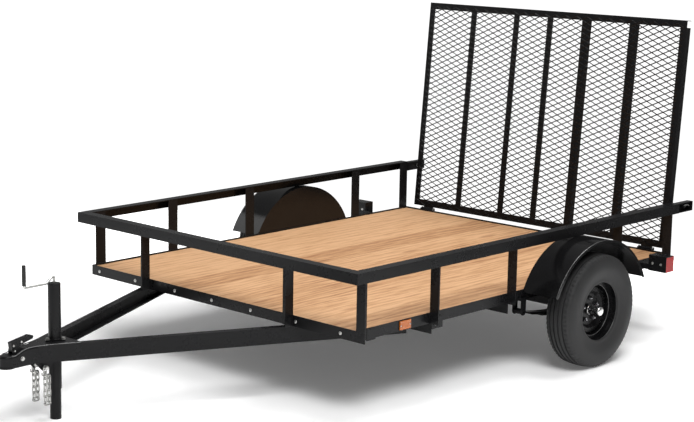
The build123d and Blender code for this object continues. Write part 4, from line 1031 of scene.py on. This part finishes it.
@dataclass
class RunningGear:
    """Nuts on the axle's spring clips, and the fenders' rolled edges."""

    spring_x: float = 0.886
    rod_x: float = 0.0277
    rod_y: float = 0.0275
    plate_z: float = 0.2268
    fender_y: float = FRONT_Y + 1.547
    fender_z: float = 0.228
    fender_r: float = 0.398
    fender_x: float = 1.1185
    fender_end: float = 0.392
    bead: float = 0.0045

    def clamp_nuts(self, paintbox: Paintbox) -> None:
        """Four nuts with washers below each tie plate."""
        places = np.array([[side * self.spring_x + dx * self.rod_x, AXLE_Y + dy * self.rod_y, self.plate_z]
                           for side in SIDES for dx in (1, -1) for dy in (1, -1)])
        skin = Skin()
        for grid in hex_head(0.0092, 0.0085, 0.0105):
            skin.copies(grid, turned("z", -1), places)
        skin.piece("spring_clamp_nuts", "trailer", Finish.ZINC, paintbox)

    def fender_edges(self, paintbox: Paintbox) -> None:
        """The outer edge of each fender rolled round a wire, painted paler grey as a painted highlight."""
        reach = math.degrees(math.acos((self.fender_end - self.fender_z) / self.fender_r))
        skin = Skin()
        for side in SIDES:
            centre = (side * (self.fender_x - self.bead), self.fender_y, self.fender_z)
            line = arc(centre, self.fender_r - self.bead + 0.0005, 90.0 - reach, 90.0 + reach, 90)
            skin.net(carried(line, self.bead, ALONG_X, 10))
        skin.piece("fender_edges", "trailer", Finish.PAINTED_HIGHLIGHT, paintbox, 50.0)


# ------------------------------------------------------------------ tongue
@dataclass
class Tongue:
    """Chains, hooks, coupler fastenings and the jack's fittings."""

    chain_x: float = 0.041
    bolt_y: float = FRONT_Y - 1.043
    bolt_z: float = 0.257
    wire: float = 0.0060
    inner_long: float = 0.0296
    inner_wide: float = 0.0090
    pitch: float = 0.0271
    fold: float = 0.0212
    down: int = 6
    up: int = 4
    hook_eye_z: float = 0.2108
    hook_eye_r: float = 0.0095
    hook_wire: float = 0.0035
    bolt_head_x: float = 0.054                              # outer face of the chain plate's boss
    side_bolt: Point = (0.0340, FRONT_Y - 1.158, 0.316)
    cover_half: float = 0.0340
    cover_top: float = 0.3580
    edge_r: float = 0.0022
    rivets: Tuple[Tuple[float, float], ...] = ((FRONT_Y - 1.188, 0.374), (FRONT_Y - 1.146, 0.385))
    lever_half: float = 0.013
    jack_y: float = FRONT_Y - 0.955
    flange_bolt_r: float = 0.040
    flange_turns: Point = (-90.0, 30.0, 150.0)
    flange_top: float = 0.3645
    grip_reach: float = 0.163
    grip_z: Tuple[float, float] = (0.6260, 0.7160)
    grip_ribs: float = 14.0

    def link(self) -> np.ndarray:
        """A round wire carried round an oval: two straights and two half rings, long way up."""
        bend = (self.inner_wide + self.wire) / 2
        straight = (self.inner_long - self.inner_wide) / 2
        turn = np.radians(np.linspace(0.0, 180.0, 13))
        top = np.stack((0.0 * turn, bend * np.cos(turn), straight + bend * np.sin(turn)), axis=1)
        path = np.vstack((top, -top))
        return carried(path, self.wire / 2, ALONG_X, 10, closed=True)

    def chains(self, paintbox: Paintbox) -> None:
        """Links down from the bolt, one across and some back up, each a quarter turn from the last."""
        points, faces = Skin.netted(self.link(), True, False)
        quarter = turned("y")
        across = np.array(((1.0, 0.0, 0.0), (0.0, 0.0, 1.0), (0.0, -1.0, 0.0)))
        seat = self.inner_wide / 2 - math.sqrt(self.inner_wide ** 2 / 4 - self.wire ** 2 / 4)
        first = self.bolt_z + 0.0044 - self.inner_long / 2
        last = first - (self.down - 1) * self.pitch
        skin = Skin()
        for side in SIDES:
            x = side * self.chain_x
            for index in range(self.down):
                turn = quarter if index % 2 else np.eye(3)
                skin.add(points @ turn + (x, self.bolt_y, first - index * self.pitch), faces)
            low = last - self.inner_long / 2 + seat + 0.0001 - self.inner_wide / 2
            skin.add(points @ across + (x, self.bolt_y + self.fold / 2, low), faces)
            for index in range(self.up):
                turn = quarter if (self.down - 1 - index) % 2 else np.eye(3)
                skin.add(points @ turn + (x, self.bolt_y + self.fold, last + index * self.pitch), faces)
        skin.piece("chain_links", "trailer", Finish.CHAIN, paintbox, 60.0, ("safety_chains",))

    def hooks(self, paintbox: Paintbox) -> None:
        """A forged slip hook on each chain: an eye, a swelling shank and a bent point."""
        y = self.bolt_y + self.fold
        point_z = self.bolt_z + 0.0064 - self.inner_long / 2 - self.pitch
        skin = Skin()
        for side in SIDES:
            x = side * self.chain_x
            ring = arc((0.0, 0.0, 0.0), self.hook_eye_r, 0.0, 345.0, 24)[:, (1, 0, 2)]
            ring = ring + (x, y, self.hook_eye_z)
            skin.net(carried(ring, self.hook_wire, (0.0, 1.0, 0.0), 10, closed=True), close_u=True)
            line = chaikin(np.array([[x, y + 0.003, point_z - 0.004, 0.0034], [x, y + 0.002, point_z, 0.0046],
                                     [x, y - 0.010, point_z, 0.0042],
                                     [x, self.bolt_y - 0.012, point_z, 0.0036],
                                     [x, self.bolt_y - 0.017, point_z + 0.004, 0.0036],
                                     [x, self.bolt_y - 0.0165, point_z + 0.014, 0.0020]]), 3)
            skin.net(carried(line[:, :3], line[:, 3], ALONG_X, 12))
        skin.piece("slip_hooks", "trailer", Finish.CHAIN, paintbox, 60.0, ("chain_hooks",))

    def fastenings(self, paintbox: Paintbox) -> None:
        """The chain bolts' heads, nuts on the coupler's sides and on the jack's flange bolts."""
        skin = Skin()
        for side in SIDES:
            for grid in hex_head(0.0100, 0.0040):
                at = (side * self.bolt_head_x, self.bolt_y, self.bolt_z)
                skin.copies(grid, turned("x", side), np.array([at]))
            for grid in hex_head(0.0085, 0.0060, 0.0100):
                skin.copies(grid, turned("x", side), np.array([self.side_bolt]) * (side, 1.0, 1.0))
        for turn in np.radians(self.flange_turns):
            at = (self.flange_bolt_r * math.cos(turn), self.jack_y + self.flange_bolt_r * math.sin(turn),
                  self.flange_top)
            for grid in hex_head(0.0092, 0.0072, 0.0110):
                skin.copies(grid, turned("z"), np.array([at]))
        skin.piece("tongue_fastenings", "trailer", Finish.ZINC, paintbox)

    def edges(self, paintbox: Paintbox) -> None:
        """The rolled top edges of the coupler's channel and cover, painted paler grey as a painted highlight.
        """
        skin = Skin()
        for side in SIDES:
            x, top = side * self.cover_half, self.cover_top
            line = np.array([[x, FRONT_Y - 1.214, 0.3355], [x, FRONT_Y - 1.190, 0.3355],
                             [x, FRONT_Y - 1.145, top], [x, FRONT_Y - 1.066, top],
                             [side * (TONGUE_APEX - 0.900) * TONGUE_SLOPE, FRONT_Y - 0.900, top]])
            skin.net(carried(chaikin(line, 3), self.edge_r, UP, 8))
        skin.piece("coupler_edges", "trailer", Finish.PAINTED_HIGHLIGHT, paintbox, 60.0)

    def lever(self, paintbox: Paintbox) -> None:
        """Two rivet heads on each side of the latch lever."""
        skin = Skin()
        head = rounded(((0.0, 0.0052), (0.0016, 0.0050), (0.0030, 0.0030), (0.0032, 0.0)), 18)
        for side in SIDES:
            places = np.array([(side * self.lever_half, *at) for at in self.rivets])
            skin.copies(head, turned("x", side), places)
        skin.piece("latch_rivets", "latch_lever", Finish.ZINC, paintbox)

    def jack(self, paintbox: Paintbox) -> None:
        """The ribbed hand grip, the cap's collar and the tube's weld at its flange."""
        low, high = self.grip_z
        along = np.linspace(low, high, 60)
        share = (along - low) / (high - low)
        ribs = np.cos(share * 2.0 * math.pi * self.grip_ribs)
        swell = 0.0088 + 0.0004 * np.sin(math.pi * share) + 0.0003 * ribs
        profile = np.vstack(([[low, 0.0062]], np.stack((along, swell), axis=1), [[high + 0.0004, 0.0060]]))
        grip = Skin()
        grip.copies(lathed(profile, 28), turned("z"), np.array([[0.0, self.jack_y - self.grip_reach, 0.0]]))
        grip.piece("crank_grip", "jack_handle", Finish.GRIP, paintbox, 60.0, ("jack_grip",))
        collar = rounded(((0.6120, 0.0284), (0.6135, 0.0284), (0.6150, 0.0264), (0.6155, 0.0130),
                          (0.6168, 0.0115), (0.6168, 0.0064)), 40, 1)
        top = Skin()
        top.copies(collar, turned("z"), np.array([[0.0, self.jack_y, 0.0]]), caps=False)
        bead = arc((0.0, 0.0, 0.0), 0.0292, 0.0, 360.0, 91)[:-1, (1, 2, 0)] + (0.0, self.jack_y, 0.3655)
        ripple = 0.0030 * (0.85 + 0.15 * np.abs(np.cos(np.arange(90) * math.pi / 3.0)))
        top.net(carried(bead, ripple, UP, 8, closed=True), close_u=True)
        top.piece("jack_collar", "trailer", Finish.PAINT, paintbox, 50.0)


# ------------------------------------------------------------------ bed
@dataclass
class Bed:
    """Bolts, welds and lamp fittings of the frame and rails."""

    half_width: float = 0.9145
    rail_out: float = 0.9653
    frame_top: float = 0.4048
    rail_under: float = 0.6722
    channel_top: float = 0.3536
    leg: float = 0.0635                                      # a post's leg along the frame
    leg_wall: float = 0.0052
    stations: Tuple[float, ...] = (0.0, 0.496, 1.063, 1.923, 2.3745)
    right_back: float = 0.028                                # how much further back the right posts stand
    front_post_x: float = 0.496
    bead_lift: float = 0.0006
    front_bolts: Tuple[float, ...] = (-0.855, -0.576, -0.281, -0.016, 0.250, 0.543, 0.821)
    bolt_z: float = 0.378
    plate_bolts: Tuple[float, float] = (0.526, 0.5575)       # left and right, from the front face
    plate_bolt_z: float = 0.353
    lamp_nuts: Tuple[float, float] = (1.008, 1.058)
    lamp_at: Tuple[float, float] = (FRONT_Y + 2.147, 0.408)
    marker_at: Point = (0.9205, FRONT_Y + 0.324, 0.3794)
    marker_screw: float = 0.031

    def bolts(self, paintbox: Paintbox) -> None:
        """Round-headed bolts along the front angle, and a cap on each post plate's bolt."""
        head = rounded(((0.0, 0.0085), (0.0012, 0.0085), (0.0036, 0.0060), (0.0046, 0.0)), 20)
        skin = Skin()
        skin.copies(head, turned("y", -1), np.array([[x, FRONT_Y, self.bolt_z] for x in self.front_bolts]))
        cap = lathed(np.array([[0.0, 0.0092], [0.0062, 0.0092], [0.0080, 0.0068], [0.0084, 0.0]]), 20)
        for side, y in zip(SIDES, self.plate_bolts):
            at = (side * (self.half_width + 0.0088), FRONT_Y + y, self.plate_bolt_z)
            skin.copies(cap, turned("x", side), np.array([at]))
        skin.piece("front_bolts", "trailer", Finish.ZINC, paintbox, 60.0)

    def welds(self, paintbox: Paintbox) -> None:
        """Beads at the posts' feet and heads, and where the tongue meets the front."""
        foot, head = self.frame_top + 0.0004, self.rail_under - self.bead_lift
        skin = Skin()
        for side in SIDES:
            out = side * (self.half_width + self.bead_lift)
            x0, x1 = side * (self.half_width + 0.007), side * (self.rail_out - 0.007)
            for post in self.stations:
                back = self.right_back if side < 0 and post != self.stations[-1] else 0.0
                start = FRONT_Y + post + back
                edge = start + (self.leg_wall if side > 0 else self.leg - self.leg_wall)
                skin.net(rippled((out, start + 0.004, foot), (out, start + self.leg - 0.004, foot)))
                skin.net(rippled((x0, edge, head), (x1, edge, head)))
        for side in SIDES:
            middle, y = side * self.front_post_x, FRONT_Y - self.bead_lift
            skin.net(rippled((middle - 0.027, y, foot), (middle + 0.027, y, foot)))
            for y in (-0.002, 0.0025):
                reach = side * (y + TONGUE_APEX) * TONGUE_SLOPE
                skin.net(rippled((reach - side * 0.002, FRONT_Y + y, self.channel_top),
                                 (reach - side * 0.032, FRONT_Y + y, self.channel_top)))
        skin.piece("weld_beads", "trailer", Finish.PAINT, paintbox, 60.0)

    def lamps(self, paintbox: Paintbox) -> None:
        """Two nuts on the front of each tail lamp, and screws in the side markers."""
        skin = Skin()
        places = np.array([(side * x, *self.lamp_at) for side in SIDES for x in self.lamp_nuts])
        for grid in hex_head(0.0055, 0.0040, 0.0066):
            skin.copies(grid, turned("y", -1), places)
        head = rounded(((0.0, 0.0036), (0.0010, 0.0034), (0.0018, 0.0)), 16)
        x, y, z = self.marker_at
        for side in SIDES:
            at = np.array([[side * x, y + dy, z] for dy in (-self.marker_screw, self.marker_screw)])
            skin.copies(head, turned("x", side), at)
        skin.piece("lamp_nuts", "trailer", Finish.ZINC, paintbox)


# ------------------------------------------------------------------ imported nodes
class PackedNodes:
    """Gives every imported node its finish."""

    def __init__(self, paintbox: Paintbox) -> None:
        """Keeps the paintbox."""
        self.paintbox = paintbox

    def dress(self) -> None:
        """Every node takes the finish that the record's slot names, the fenders a glossier black."""
        for entry in frame["record"]["subparts"]:
            node = entry["node"]
            finish = Finish.FENDER if node == "fenders" else Finish.of_slot(entry["material_slot"])
            self.paintbox.paint_node(node, finish)
            LOG.info("painted %s", node)


def main() -> None:
    """Builds the studio, then every sub-assembly in order."""
    logging.basicConfig(level=logging.INFO, format="%(name)s %(message)s")
    studio = Studio()
    studio.camera()
    studio.lights()
    studio.floor()
    studio.dome()
    paintbox = Paintbox()
    PackedNodes(paintbox).dress()
    gate = Gate()
    gate.mesh(paintbox)
    gate.hinges(paintbox)
    gate.latches(paintbox)
    for name, side in (("left", 1.0), ("right", -1.0)):
        wheel = Wheel(name, side)
        wheel.tyre(paintbox)
        wheel.rings(paintbox)
        wheel.nuts(paintbox)
        wheel.cap(paintbox)
        wheel.valve(paintbox)
    gear = RunningGear()
    gear.clamp_nuts(paintbox)
    gear.fender_edges(paintbox)
    tongue = Tongue()
    tongue.chains(paintbox)
    tongue.hooks(paintbox)
    tongue.fastenings(paintbox)
    tongue.edges(paintbox)
    tongue.lever(paintbox)
    tongue.jack(paintbox)
    bed = Bed()
    bed.bolts(paintbox)
    bed.welds(paintbox)
    bed.lamps(paintbox)


if __name__ == "__main__":
    main()
